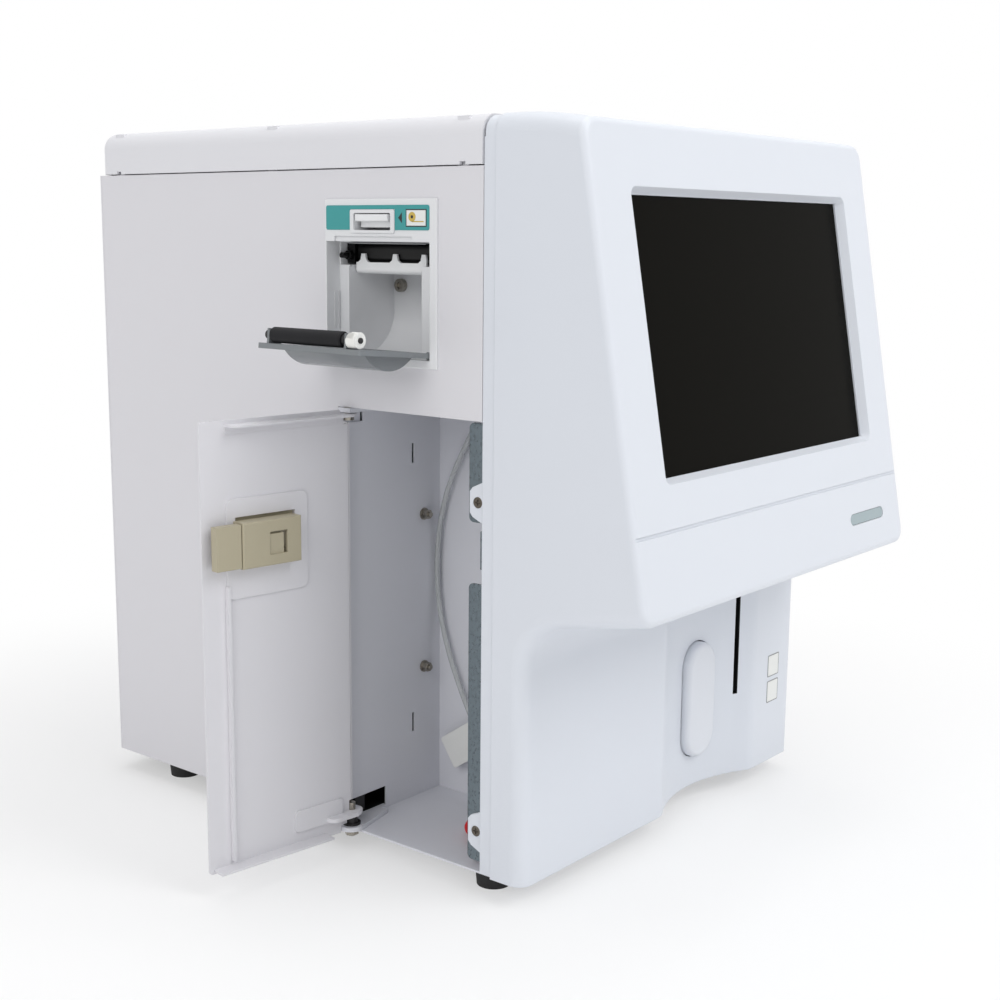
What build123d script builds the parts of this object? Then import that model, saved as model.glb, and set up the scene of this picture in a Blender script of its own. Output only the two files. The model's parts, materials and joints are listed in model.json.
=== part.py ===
from build123d import *
from math import atan2, cos, degrees, radians, sin, tan
import os

# Bench blood analyser. Sizes in millimetres.
# Everything is drawn in the cabinet's own frame: x from the left side, y behind the seam
# between the moulded front and the sheet metal cabinet, z above the underside.
# save() moves it so that the origin is the underside of the front left foot, on the bench.

# Cabinet
WIDTH = 300.0
DEPTH = 323.0
LID_TOP = 413.7
LID_H = 26.4
SIDE_TOP = LID_TOP - LID_H
LID_GAP = 0.6
LID_OVER = 1.0
LID_T = 2.0
LID_R = 10.0
SHEET = 1.2
FOOT_H = 13.0
FOOT_R = 11.0
FOOT_X = 20.0
FOOT_Y0 = 6.0
FOOT_Y1 = DEPTH - 44.0

# Moulded front
PROUD = 0.8
WALL = 3.0
RIM = 8.0
TILT = 10.12
FACE_TOP_Y = -62.2
FACE_TOP_Z = LID_TOP - 4.2
FACE_LEN = 254.3
TOP_FLAT = 20.0
LOWER_Y = -30.6
CHIN_R = 25.0
SIDE_R = 9.0
TOP_R = 10.0
FACE_R = 4.0
FACE_DROP = FACE_LEN * cos(radians(TILT))
CHIN_Y = FACE_TOP_Y - FACE_LEN * sin(radians(TILT))
CHIN_Z = FACE_TOP_Z - FACE_DROP
UNDER_Z = CHIN_Z - (LOWER_Y - CHIN_Y) * tan(radians(TILT))
SCR_X0 = 33.0
SCR_X1 = WIDTH - 31.5
SCR_S0 = 33.0
SCR_S1 = 185.5
SCR_BEVEL = 3.2
SCR_DEEP = 6.0
GLASS_LAP = 4.0
GLASS_T = 2.0
GROOVE_S = FACE_LEN - 45.3
LIGHT_X = WIDTH - 48.0
LIGHT_S = FACE_LEN - 22.8
LIGHT_L = 45.0
LIGHT_W = 7.0

# Sampling recess, key and probe
REC_X = WIDTH - 107.5
REC_HALF = 53.5
REC_DEEP = 15.2
REC_EDGE_R = 14.0
REC_TOP = UNDER_Z - 9.5
REC_R = (REC_HALF ** 2 + REC_DEEP ** 2) / (2 * REC_DEEP)
REC_CY = LOWER_Y + REC_DEEP - REC_R
KEY_X = WIDTH - 102.0
KEY_Z = 58.0
KEY_W = 33.0
KEY_H = 76.0
KEY_GAP = 0.7
KEY_OUT = 6.0
KEY_STROKE = 2.5
KEY_BACK = 5.0
SLOT_X = WIDTH - 66.0
SLOT_W = 3.0
SLOT_Z0 = 54.6
PROBE_R = 0.9
PROBE_TIP = 76.0
PROBE_Y = -6.0
CAR_Z = CHIN_Z + 26.9
CAR_DOWN = 16.0

# Reagent compartment and its door
BAY_Y = 100.0
BAY_TOP = SIDE_TOP - 132.8
WALL_Y = 106.5
WALL_X0 = 7.0
DEEP_X = 87.0
CEIL_Z = BAY_TOP + 1.5
HINGE_X = 0.5
HINGE_Y = 100.3
DOOR_OPEN = 97.5
DOOR_U0 = 1.0
DOOR_U1 = 99.6
DOOR_Z0 = 0.5
DOOR_Z1 = BAY_TOP - 1.0
DOOR_FLANGE = 8.8
EAR_R = 6.5
EAR_T = 2.4
EAR_Z = 10.6
TOP_EAR_Z = BAY_TOP - 4.5
PIN_R = 2.3
PIN_FIT = 0.05
LATCH_U0 = 41.5
LATCH_U1 = 80.0
LATCH_Z0 = 173.0
LATCH_Z1 = 198.5
LATCH_OUT = 11.5
BOLT_TIP = 96.0
BOLT_BACK = 5.2
FASTENER_X = 72.0
FASTENER_R = 1.6
FASTENER_Z = (84.5, CEIL_Z - 74.0)
STRIP_X = 3.6
STRIP_Y1 = 12.0
STRIP_Z0 = 5.7
STRIP_Z1 = BAY_TOP - 1.5
WEB_Y = -8.0
TABS = [(11.7, 36.6), (BAY_TOP - 55.8, BAY_TOP - 32.3)]
TAB_X0 = 1.6
TAB_Y = 10.0
SCREW_Y = 4.4

# Inner chassis
CHASSIS_X = DEEP_X + SHEET + 18.0
CHASSIS_T = 1.5
SHELF_Z = 205.0

# Thermal printer in the left side. Its heights are above the frame's lower edge, at PRINTER_Z.
PRINTER_Z = SIDE_TOP - 107.1
BEZ_Y0 = 31.4
BEZ_Y1 = 115.5
BEZ_Z0 = 0.0
BEZ_Z1 = 90.8
BEZ_OUT = 1.5
BOX_Y0 = 34.0
BOX_Y1 = 115.0
BOX_Z0 = 1.4
BOX_Z1 = 89.0
BOX_X = 49.0
OPEN_Y0 = 36.4
OPEN_Y1 = 114.3
OPEN_Z0 = 4.5
OPEN_Z1 = 67.6
STEP_X = 9.0
ROLL_Y0 = 51.5
ROLL_Y1 = 107.0
ROLL_X = 21.3
ROLL_Z = 28.8
ROLL_R = 25.2
MECH_Z = 54.4
PD_X = 2.0
PD_Z = 6.8
PD_OPEN = 85.0
PD_LEN = 57.5
PD_T = 3.0
PD_GAP = 0.4
PD_BULGE_Y0 = 43.0
PD_BULGE_Y1 = 104.0
PD_BULGE_U = 28.4
PD_BULGE_HALF = 18.0
PD_BULGE = 7.7
TRUN_R = 1.3
PLAT_U = 54.7
PLAT_N = 6.2
PLAT_R = 4.3
SHAFT_R = 1.5
GEAR_R = 4.3
GEAR_TEETH = 22
TEAR_Z = OPEN_Z1 - 1.3
LEV_X = 8.0
LEV_Z = 76.6
LEV_Y0 = 66.5
LEV_Y1 = 91.2
LEV_PIN_R = 1.3

# Back of the cabinet
FAN_X = WIDTH - 68.0
FAN_Z = SIDE_TOP - 87.3
FAN_HALF = 40.0
INLET_X = WIDTH - 55.0
INLET_Z = 62.0
PORT_X = 62.0
PORT_Z = 70.0
PORT_STEP = 27.0
DATA_X = 90.0
DATA_Z = SIDE_TOP - 57.3
DATA_HALF_X = 45.0
DATA_HALF_Z = 9.0
REAR_SCREW_X = (8.0, WIDTH - 8.0)
REAR_SCREW_Z = (20.0, 200.0, SIDE_TOP - 12.3)
REAR_SCREW_R = 1.5

# Hose in the compartment
HOSE_R = 1.6
HOSE_RUN = [
    (82.3, 63.3, CEIL_Z - 0.7),
    (82.3, 91.3, CEIL_Z - 43.3),
    (82.3, 104.5, 169.6),
    (82.3, 104.5, 124.4),
    (82.3, 91.3, 81.3),
    (82.3, 60.5, 28.0),
    (62.0, 46.0, 9.6),
    (40.0, 36.0, 7.8),
]
CAP_R = 5.8
CAP_L = 12.0


# Helpers
def block(x0, x1, y0, y1, z0, z1):
    size = Box(x1 - x0, y1 - y0, z1 - z0)
    return Pos((x0 + x1) / 2, (y0 + y1) / 2, (z0 + z1) / 2) * size


def rod_x(x0, x1, y, z, r):
    return Pos((x0 + x1) / 2, y, z) * Rot(0, 90, 0) * Cylinder(r, x1 - x0)


def rod_y(y0, y1, x, z, r):
    return Pos(x, (y0 + y1) / 2, z) * Rot(90, 0, 0) * Cylinder(r, y1 - y0)


def rod_z(z0, z1, x, y, r):
    return Pos(x, y, (z0 + z1) / 2) * Cylinder(r, z1 - z0)


def group(parts):
    return Compound(children=[p for p in parts])


FACE = Plane(
    origin=(0, FACE_TOP_Y, FACE_TOP_Z),
    x_dir=(1, 0, 0),
    z_dir=(0, -cos(radians(TILT)), sin(radians(TILT))),
)


def on_face(x, s, depth=0.0):
    return FACE * Pos(x, -s, -depth)


# Moulded front: one side profile, drawn again at each inset to give the wall
def front_profile(inset):
    outline = Polyline(
        (0, 0),
        (LOWER_Y, 0),
        (LOWER_Y, UNDER_Z),
        (CHIN_Y, CHIN_Z),
        (FACE_TOP_Y, FACE_TOP_Z),
    )
    top = ThreePointArc(
        (FACE_TOP_Y, FACE_TOP_Z),
        ((FACE_TOP_Y - TOP_FLAT) / 2, LID_TOP - 1.2),
        (-TOP_FLAT, LID_TOP),
    )
    rest = Polyline((-TOP_FLAT, LID_TOP), (0, LID_TOP), (0, 0))
    face = make_face([*outline.edges(), *top.edges(), *rest.edges()])
    corner = face.vertices().sort_by_distance((LOWER_Y, UNDER_Z, 0))[0]
    face = fillet(corner, CHIN_R)
    if inset > 0:
        face = offset(face, -inset, kind=Kind.INTERSECTION)
    return face


def side_edges(body, inset):
    half = WIDTH / 2 + PROUD - inset
    return [e for e in body.edges() if abs(abs(e.center().X - WIDTH / 2) - half) < 0.01]


def scoop(inset):
    plan = Pos(WIDTH / 2, LOWER_Y + inset + 30) * Rectangle(WIDTH, 60)
    left = plan - Pos(REC_X, REC_CY) * Circle(REC_R + inset)
    ends = [v for v in left.vertices()
            if abs(v.Y - LOWER_Y - inset) < 0.01 and abs(v.X - REC_X) < REC_HALF + 20]
    cut = extrude(plan - fillet(ends, REC_EDGE_R), REC_TOP + inset + 1)
    ring = Pos(REC_X, REC_CY, (REC_TOP + inset + 1) / 2) * Cylinder(REC_R + inset, REC_TOP + inset + 1)
    return Pos(0, 0, -1) * (cut + ring)


def front_body(inset, round_face):
    flat = front_profile(inset)
    body = extrude(Plane.YZ * flat, WIDTH + 2 * PROUD - 2 * inset)
    body = Pos(inset - PROUD, 0, 0) * body
    under = [e for e in side_edges(body, inset)
             if e.center().Z < CHIN_Z + 2 and e.center().Y < -inset - 20 and e.center().Z > inset + 1]
    body = fillet(under, SIDE_R - inset)
    top = [e for e in side_edges(body, inset) if e.center().Z > LID_TOP - 8]
    body = fillet(top, TOP_R - inset)
    if round_face:
        front = [f for f in body.faces() if f.area > 50000 and f.normal_at().Y < -0.9]
        body = fillet(front[0].outer_wire().edges(), FACE_R)
    return body - scoop(inset)


def make_front_shell():
    outer = front_body(0, True)
    band = block(-5, WIDTH + 5, -RIM, 1, -1, LID_TOP + 5)
    rim = front_body(PROUD, False) + block(0, WIDTH, -2, 0, PROUD, LID_TOP - 12)
    shell = (outer - band) + (rim & block(-5, WIDTH + 5, -RIM - 0.5, 0, -1, LID_TOP + 5))
    frame = on_face((SCR_X0 + SCR_X1) / 2, (SCR_S0 + SCR_S1) / 2, SCR_DEEP / 2 + 1)
    frame = frame * Box(SCR_X1 - SCR_X0 + 10, SCR_S1 - SCR_S0 + 10, SCR_DEEP - 2)
    inner = front_body(WALL, False)
    inner += block(WALL - PROUD, WIDTH - WALL + PROUD, -WALL - 2, 2, WALL, LID_TOP - 10)
    inner += block(12, WIDTH - 12, -WALL - 2, 2, LID_TOP - 20, LID_TOP - WALL)
    shell = shell - inner + frame
    mid = on_face((SCR_X0 + SCR_X1) / 2, (SCR_S0 + SCR_S1) / 2)
    wide = RectangleRounded(SCR_X1 - SCR_X0, SCR_S1 - SCR_S0, 5)
    slope = extrude(wide, -SCR_DEEP + 1.2, taper=degrees(atan2(SCR_BEVEL - 0.3, SCR_DEEP - 1.2)))
    hole = Rectangle(SCR_X1 - SCR_X0 - 2 * SCR_BEVEL, SCR_S1 - SCR_S0 - 2 * SCR_BEVEL)
    shell -= mid * slope
    shell -= mid * extrude(hole, -SCR_DEEP - 3)
    shell -= on_face(WIDTH / 2, GROOVE_S) * Box(WIDTH + 20, 1.8, 1.6)
    shell -= on_face(LIGHT_X, LIGHT_S, 3) * extrude(SlotOverall(LIGHT_L, LIGHT_W), 12, both=True)
    shell -= key_slug(KEY_GAP, LOWER_Y - 10, 5)
    shell -= block(SLOT_X - SLOT_W / 2, SLOT_X + SLOT_W / 2, -68, 0, SLOT_Z0, CHIN_Z + 8)
    for z0, z1 in TABS:
        shell += front_tab(z0, z1)
    return shell


def front_tab(z0, z1):
    outline = Polyline((-5, z0 - 2), (0, z0), (TAB_Y - 2, z0 + 3.6), (TAB_Y, z0 + 6),
                       (TAB_Y, z1 - 6), (TAB_Y - 2, z1 - 3.6), (0, z1), (-5, z1 + 2), close=True)
    tab = extrude(Plane.YZ * make_face(outline), STRIP_X - TAB_X0)
    tab = Pos(TAB_X0, 0, 0) * tab
    mid = (z0 + z1) / 2
    tab -= rod_x(TAB_X0 - 1, STRIP_X + 1, SCREW_Y, mid, 1.7)
    return tab - rod_x(TAB_X0 - 0.1, TAB_X0 + 1.0, SCREW_Y, mid, 3.1)


def make_shell_screws():
    out = []
    for z0, z1 in TABS:
        mid = (z0 + z1) / 2
        screw = rod_x(TAB_X0 + 0.1, TAB_X0 + 1.0, SCREW_Y, mid, 3.0)
        screw += rod_x(TAB_X0 + 0.5, STRIP_X + 7, SCREW_Y, mid, 1.5)
        for turn in (0, 90):
            cross = Rot(turn, 0, 0) * Box(1.2, 0.8, 3.4)
            screw -= Pos(TAB_X0 + 0.2, SCREW_Y, mid) * cross
        out.append(screw)
    return group(out)


def key_slug(gap, y0, y1):
    shape = SlotOverall(KEY_H + 2 * gap, KEY_W + 2 * gap, rotation=90)
    slug = extrude(Plane.XZ * shape, y1 - y0)
    return Pos(KEY_X, y1, KEY_Z) * slug


def make_aspirate_key():
    front = REC_CY + REC_R - KEY_OUT
    key = key_slug(0, front, front + 16)
    nose = key.faces().sort_by(Axis.Y)[0]
    key = fillet(nose.outer_wire().edges(), 3.6)
    flange = key_slug(2.2, REC_CY + REC_R + WALL + KEY_STROKE + 1.0, front + 18)
    stem = rod_y(front + 17, KEY_BACK, KEY_X, KEY_Z, 3)
    return key + flange + stem


def make_aspirate_switch():
    base = block(KEY_X - 14, KEY_X + 14, 9.4, 13.4, KEY_Z - 24, KEY_Z + 24)
    base -= rod_y(8, 12.2, KEY_X, KEY_Z, 4.4)
    foot = block(KEY_X - 14, KEY_X + 14, 9.4, 30, 1.2, 4)
    post = block(KEY_X - 14, KEY_X + 14, 11.0, 13.4, 2, KEY_Z)
    return base + foot + post


# Screen and light
def make_screen_glass():
    wide = SCR_X1 - SCR_X0 - 2 * SCR_BEVEL + 2 * GLASS_LAP
    tall = SCR_S1 - SCR_S0 - 2 * SCR_BEVEL + 2 * GLASS_LAP
    mid = on_face((SCR_X0 + SCR_X1) / 2, (SCR_S0 + SCR_S1) / 2, SCR_DEEP - 1 + GLASS_T / 2 + 1)
    return mid * Box(wide, tall, GLASS_T)


def make_display_module():
    mid = on_face((SCR_X0 + SCR_X1) / 2, (SCR_S0 + SCR_S1) / 2, SCR_DEEP + GLASS_T + 5)
    body = mid * Box(SCR_X1 - SCR_X0 + 6, SCR_S1 - SCR_S0 + 4, 10)
    board = on_face((SCR_X0 + SCR_X1) / 2, (SCR_S0 + SCR_S1) / 2, SCR_DEEP + GLASS_T + 11.4)
    return body + board * Box(150, 90, 3)


def make_status_light():
    lens = extrude(SlotOverall(LIGHT_L - 0.4, LIGHT_W - 0.4), -WALL + 0.3)
    lens = on_face(LIGHT_X, LIGHT_S, 0.3) * lens
    plate = on_face(LIGHT_X, LIGHT_S, WALL + 1.0) * Box(LIGHT_L + 8, LIGHT_W + 6, 2)
    return lens + plate


# Cabinet sheet metal
def make_base_plate():
    plate = block(SHEET + 0.1, WIDTH - SHEET - 0.1, 0.3, DEPTH - SHEET - 0.1, 0, SHEET)
    plate += block(SHEET + 0.1, WIDTH - SHEET - 0.1, DEPTH - 2 * SHEET - 0.1, DEPTH - SHEET - 0.1, 0, 14)
    plate += block(WIDTH - 2 * SHEET - 0.1, WIDTH - SHEET - 0.1, 0.3, DEPTH - 3, 0, 14)
    plate += block(SHEET + 0.1, 2 * SHEET + 0.1, 122, DEPTH - 3, 0, 14)
    for x in (FOOT_X, WIDTH - FOOT_X):
        for y in (FOOT_Y0, FOOT_Y1):
            plate -= rod_z(-1, 2, x, y, 2.6)
    return plate - rod_z(-1, 2, HINGE_X, HINGE_Y, PIN_R + 0.2)


def make_left_panel():
    panel = block(0, SHEET, 0.4, DEPTH - SHEET - 0.1, 0.3, SIDE_TOP)
    panel += block(0, 12, 6, DEPTH - 6, SIDE_TOP - SHEET, SIDE_TOP)
    panel -= block(-1, SHEET + 1, -1, BAY_Y, -1, BAY_TOP)
    panel -= block(-1, SHEET + 1, BAY_Y - 1, HINGE_Y + EAR_R + 2, -1, 19)
    panel -= block(-1, SHEET + 1, BAY_Y - 1, HINGE_Y + EAR_R + 1, TOP_EAR_Z - 4, BAY_TOP)
    cut = block(-1, SHEET + 1, BOX_Y0 - 0.3, BOX_Y1 + 0.3,
                PRINTER_Z + BOX_Z0 - 0.3, PRINTER_Z + BOX_Z1 + 0.3)
    return panel - cut


def make_right_panel():
    panel = block(WIDTH - SHEET, WIDTH, 0.4, DEPTH - SHEET - 0.1, 0.3, SIDE_TOP)
    panel += block(WIDTH - 12, WIDTH, 6, DEPTH - 6, SIDE_TOP - SHEET, SIDE_TOP)
    for i in range(9):
        y = DEPTH - 113 + 9 * i
        panel -= block(WIDTH - SHEET - 1, WIDTH + 1, y, y + 3.5, FAN_Z - 50, FAN_Z + 20)
    return panel


def make_rear_panel():
    y0 = DEPTH - SHEET
    panel = block(0, WIDTH, y0, DEPTH, 0.3, SIDE_TOP)
    for ring in (10, 17, 24, 31):
        band = rod_y(y0 - 1, DEPTH + 1, FAN_X, FAN_Z, ring + 2)
        band -= rod_y(y0 - 2, DEPTH + 2, FAN_X, FAN_Z, ring - 2)
        for turn in (45, 135):
            band -= Pos(FAN_X, DEPTH, FAN_Z) * Rot(0, turn, 0) * Box(90, 8, 4)
        panel -= band
    panel -= block(INLET_X - 24, INLET_X + 24, y0 - 1, DEPTH + 1, INLET_Z - 13, INLET_Z + 13)
    for i in range(4):
        panel -= rod_y(y0 - 1, DEPTH + 1, PORT_X + PORT_STEP * i, PORT_Z, 5.2)
    panel -= block(DATA_X - DATA_HALF_X, DATA_X + DATA_HALF_X, y0 - 1, DEPTH + 1,
                   DATA_Z - DATA_HALF_Z, DATA_Z + DATA_HALF_Z)
    for i in range(8):
        x = 40 + 10 * i
        panel -= block(x, x + 4, y0 - 1, DEPTH + 1, 180, 240)
    for x in REAR_SCREW_X:
        for z in REAR_SCREW_Z:
            panel -= rod_y(y0 - 1, DEPTH + 1, x, z, REAR_SCREW_R + 0.2)
    return panel


def make_top_cover():
    z0 = SIDE_TOP + LID_GAP
    lid = block(-LID_OVER, WIDTH + LID_OVER, 0.5, DEPTH + 0.6, z0, LID_TOP)
    back = [e for e in lid.edges().filter_by(Axis.Z) if e.center().Y > DEPTH / 2]
    lid = fillet(back, LID_R + 1)
    loop = [e for e in lid.faces().sort_by(Axis.Z)[-1].outer_wire().edges() if e.center().Y > 1]
    lid = fillet(loop, LID_R)
    hollow = block(LID_T - LID_OVER, WIDTH + LID_OVER - LID_T, 2.5, DEPTH - 1.4, z0 - 1, LID_TOP - LID_T)
    back = [e for e in hollow.edges().filter_by(Axis.Z) if e.center().Y > DEPTH / 2]
    hollow = fillet(back, LID_R - 1)
    loop = [e for e in hollow.faces().sort_by(Axis.Z)[-1].outer_wire().edges() if e.center().Y > 3]
    lid -= fillet(loop, LID_R - LID_T)
    for x in (2, WIDTH - 10):
        for y in (12, DEPTH / 2 - 4, DEPTH - 23):
            lid += block(x, x + 8, y, y + 8, SIDE_TOP, LID_TOP - 1)
    for y in (14, DEPTH - 21):
        lid -= block(-LID_OVER - 1, LID_T, y - 2, y + 2, z0 - 1, z0 + 1.6)
    return lid


def make_foot(x, y):
    foot = Pos(x, y, -FOOT_H / 2) * Cone(FOOT_R - 1.2, FOOT_R, FOOT_H)
    foot += rod_z(-1, SHEET + 2.4, x, y, 2.5)
    return foot + rod_z(SHEET, SHEET + 2.4, x, y, 4.2)


# Reagent compartment
def make_liner():
    rear = block(WALL_X0, DEEP_X + SHEET, WALL_Y, WALL_Y + SHEET, SHEET, CEIL_Z + SHEET)
    deep = block(DEEP_X, DEEP_X + SHEET, WEB_Y + 8.6, WALL_Y + SHEET, SHEET, CEIL_Z + SHEET)
    top = block(SHEET + 0.3, DEEP_X + SHEET, 2.0, WALL_Y + SHEET, CEIL_Z, CEIL_Z + SHEET)
    liner = rear + deep + top
    liner -= block(WALL_X0 - 1, 37, WALL_Y - 1, WALL_Y + 3, 0, 15.4)
    liner -= block(WALL_X0 - 1, 19, WALL_Y - 1, WALL_Y + 3, CEIL_Z - 11.5, CEIL_Z)
    for z0, z1 in ((44.0, 56.4), (CEIL_Z - 41.2, CEIL_Z - 29.0)):
        liner -= block(61.1, 63.3, WALL_Y - 1, WALL_Y + 3, z0, z1)
    for z in FASTENER_Z:
        liner -= rod_y(WALL_Y - 1, WALL_Y + 3, FASTENER_X, z, FASTENER_R + 0.1)
    liner -= rod_z(CEIL_Z - 1, CEIL_Z + 3, HOSE_RUN[0][0], HOSE_RUN[0][1], 3.4)
    return liner


def make_wall_fasteners():
    out = []
    for z in FASTENER_Z:
        nut = rod_y(WALL_Y - 0.9, WALL_Y, FASTENER_X, z, 3.7)
        hexagon = extrude(Plane.XZ * RegularPolygon(3.0, 6), 4)
        nut += Pos(FASTENER_X, WALL_Y - 0.6, z) * hexagon
        nut += rod_y(WALL_Y - 6.0, WALL_Y + 6, FASTENER_X, z, FASTENER_R)
        out.append(nut)
    return group(out)


def make_front_bracket():
    strip = block(STRIP_X, STRIP_X + SHEET, WEB_Y, STRIP_Y1, STRIP_Z0, STRIP_Z1)
    strip -= block(STRIP_X - 1, STRIP_X + 3, 4.0, STRIP_Y1 + 1, STRIP_Z1 - 88.0, STRIP_Z1 - 54.0)
    strip -= block(STRIP_X - 1, STRIP_X + 3, 2.2, STRIP_Y1 + 1, STRIP_Z1 - 58.6, STRIP_Z1 - 54.0)
    strip -= block(STRIP_X - 1, STRIP_X + 3, 2.2, STRIP_Y1 + 1, STRIP_Z1 - 88.0, STRIP_Z1 - 79.6)
    ends = [e for e in strip.edges().filter_by(Axis.X) if e.center().Y > STRIP_Y1 - 0.1]
    strip = fillet(ends, 3)
    web = block(STRIP_X, DEEP_X + SHEET, WEB_Y, WEB_Y + SHEET, STRIP_Z0, STRIP_Z1)
    foot = block(STRIP_X + 4, DEEP_X, WEB_Y, 0.6, STRIP_Z0, STRIP_Z0 + SHEET)
    legs = block(30, 70, 1.0, 12, SHEET, 2 * SHEET) + block(30, 70, 0.05, 1.2, SHEET, STRIP_Z0 + 1)
    ledge = block(DEEP_X - SHEET, DEEP_X + SHEET, WEB_Y, 0.6, STRIP_Z0, STRIP_Z1)
    bracket = strip + web + foot + legs + ledge
    for z0, z1 in TABS:
        bracket -= rod_x(STRIP_X - 1, STRIP_X + 3, SCREW_Y, (z0 + z1) / 2, 1.5)
    return bracket


def swing(shape):
    pin = Pos(HINGE_X, HINGE_Y, 0)
    return pin * Rot(0, 0, -DOOR_OPEN) * Pos(-HINGE_X, -HINGE_Y, 0) * shape


def at_u(u):
    return HINGE_Y - u


def make_reagent_door():
    skin = block(0, SHEET, at_u(DOOR_U1), at_u(DOOR_U0), DOOR_Z0, DOOR_Z1)
    corners = skin.edges().filter_by(Axis.X)
    skin = fillet(corners, 2)
    deep = SHEET + DOOR_FLANGE
    top = block(0.5, deep, at_u(84), at_u(DOOR_U0), TOP_EAR_Z, TOP_EAR_Z + SHEET)
    ends = [e for e in top.edges().filter_by(Axis.Z) if e.center().X > 5]
    top = fillet(ends, 4)
    top += rod_z(TOP_EAR_Z, TOP_EAR_Z + SHEET, HINGE_X, HINGE_Y, 5.0)
    lip = block(SHEET - 0.4, SHEET + 1.0, at_u(84), at_u(10), TOP_EAR_Z - 4, TOP_EAR_Z + 0.2)
    low = block(0.5, deep, at_u(97), at_u(20), 2.0, 2.0 + SHEET)
    pad = block(SHEET - 0.2, SHEET + 1.2, at_u(84.2), at_u(30.8), 155, 210.5)
    pad = fillet(pad.edges().filter_by(Axis.X), 4)
    rib = block(SHEET - 0.2, SHEET + 2.6, at_u(85.2), at_u(83.4), 5, 163)
    rib = fillet(rib.edges().filter_by(Axis.X), 0.8)
    strap = block(SHEET - 0.2, SHEET + 1.4, at_u(42), at_u(8), 9.5, 22.5)
    strap = fillet(strap.edges().filter_by(Axis.X), 2.5)
    ear = block(0.6, 2 * EAR_R - 5, at_u(20), HINGE_Y, EAR_Z, EAR_Z + EAR_T)
    curve = [e for e in ear.edges().filter_by(Axis.Z) if e.center().X > 3 and e.center().Y < HINGE_Y - 10]
    ear = fillet(curve, 5)
    ear += rod_z(EAR_Z, EAR_Z + EAR_T, HINGE_X, HINGE_Y, EAR_R)
    door = skin + top + lip + low + pad + rib + strap + ear
    door -= rod_z(EAR_Z - 1, EAR_Z + EAR_T + 6, HINGE_X, HINGE_Y, PIN_R + PIN_FIT)
    door -= rod_z(TOP_EAR_Z - 1, DOOR_Z1 + 1, HINGE_X, HINGE_Y, PIN_R + PIN_FIT)
    door -= rod_z(-1, EAR_Z - 0.01, HINGE_X, HINGE_Y, 4.1)
    door -= rod_z(-1, SHEET + 4.0, HINGE_X, HINGE_Y, 8.6)
    door -= rod_z(TOP_EAR_Z - 4.6, TOP_EAR_Z - 0.01, HINGE_X, HINGE_Y, 3.9)
    door -= rod_z(TOP_EAR_Z + SHEET + 0.01, DOOR_Z1 + 1, HINGE_X, HINGE_Y, 6.4)
    door -= block(-1, 5, at_u(LATCH_U1 - 1.2), at_u(LATCH_U0 - 2), LATCH_Z0 + 1, LATCH_Z1 + 1.8)
    return swing(door)


def make_latch_body():
    body = block(SHEET + 1.2, LATCH_OUT, at_u(LATCH_U1), at_u(LATCH_U0), LATCH_Z0, LATCH_Z1)
    edge = [e for e in body.edges() if e.center().X > LATCH_OUT - 0.1]
    body = chamfer(edge, 0.6)
    neck = block(-0.2, SHEET + 1.6, at_u(LATCH_U1 - 1.7), at_u(LATCH_U0 - 1), LATCH_Z0 + 1.4, LATCH_Z1 - 1)
    bezel = block(-1.6, -0.02, at_u(LATCH_U1 + 3), at_u(LATCH_U0 - 4), LATCH_Z0 - 3, LATCH_Z1 + 4)
    bezel = fillet(bezel.edges().filter_by(Axis.X), 3)
    body = body + neck + bezel
    channel = block(4.6, 9.0, at_u(LATCH_U1 + 1), at_u(LATCH_U0 + 4.5), LATCH_Z0 + 6.6, LATCH_Z0 + 18.9)
    u0 = LATCH_U0 + 9.5
    u1 = LATCH_U0 + 21.0
    window = block(8, LATCH_OUT + 1, at_u(u1), at_u(u0), LATCH_Z0 + 6.0, LATCH_Z0 + 18.8)
    window -= block(8, LATCH_OUT - 0.8, at_u(u1), at_u(u0 + 2), LATCH_Z0 + 6.0, LATCH_Z0 + 17.4)
    pull = block(-3, 5, at_u(u1 + 7.5), at_u(u0 - 4), LATCH_Z0 + 7.6, LATCH_Z0 + 17.9)
    return swing(body - channel - window - pull)


def make_latch_bolt():
    head = block(BOLT_BACK, LATCH_OUT - 0.8, at_u(BOLT_TIP), at_u(LATCH_U1 + 0.5),
                 LATCH_Z0 + 0.8, LATCH_Z1 - 0.8)
    nose = block(LATCH_OUT - 0.8, LATCH_OUT + 1, at_u(BOLT_TIP) - 1, at_u(BOLT_TIP - 9),
                 LATCH_Z0 - 3, LATCH_Z1 + 3.5)
    cut = Pos(LATCH_OUT - 0.8, at_u(BOLT_TIP - 8), LATCH_Z0) * Rot(0, 0, 24) * Box(
        6, 30, 70, align=(Align.MIN, Align.MAX, Align.CENTER))
    head = head - cut - nose
    u0 = LATCH_U0 + 12.5
    u1 = LATCH_U0 + 22.0
    stem = block(4.9, 8.7, at_u(LATCH_U1 + 2), at_u(u0), LATCH_Z0 + 6.9, LATCH_Z0 + 18.6)
    thumb = block(-2.4, 5.5, at_u(u1), at_u(u0), LATCH_Z0 + 7.9, LATCH_Z0 + 17.6)
    grip = block(-4.2, -2.0, at_u(u1 - 0.5), at_u(u0 + 0.5), LATCH_Z0 + 8.2, LATCH_Z0 + 17.3)
    bolt = head + stem + thumb + grip
    return swing(bolt)


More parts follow.
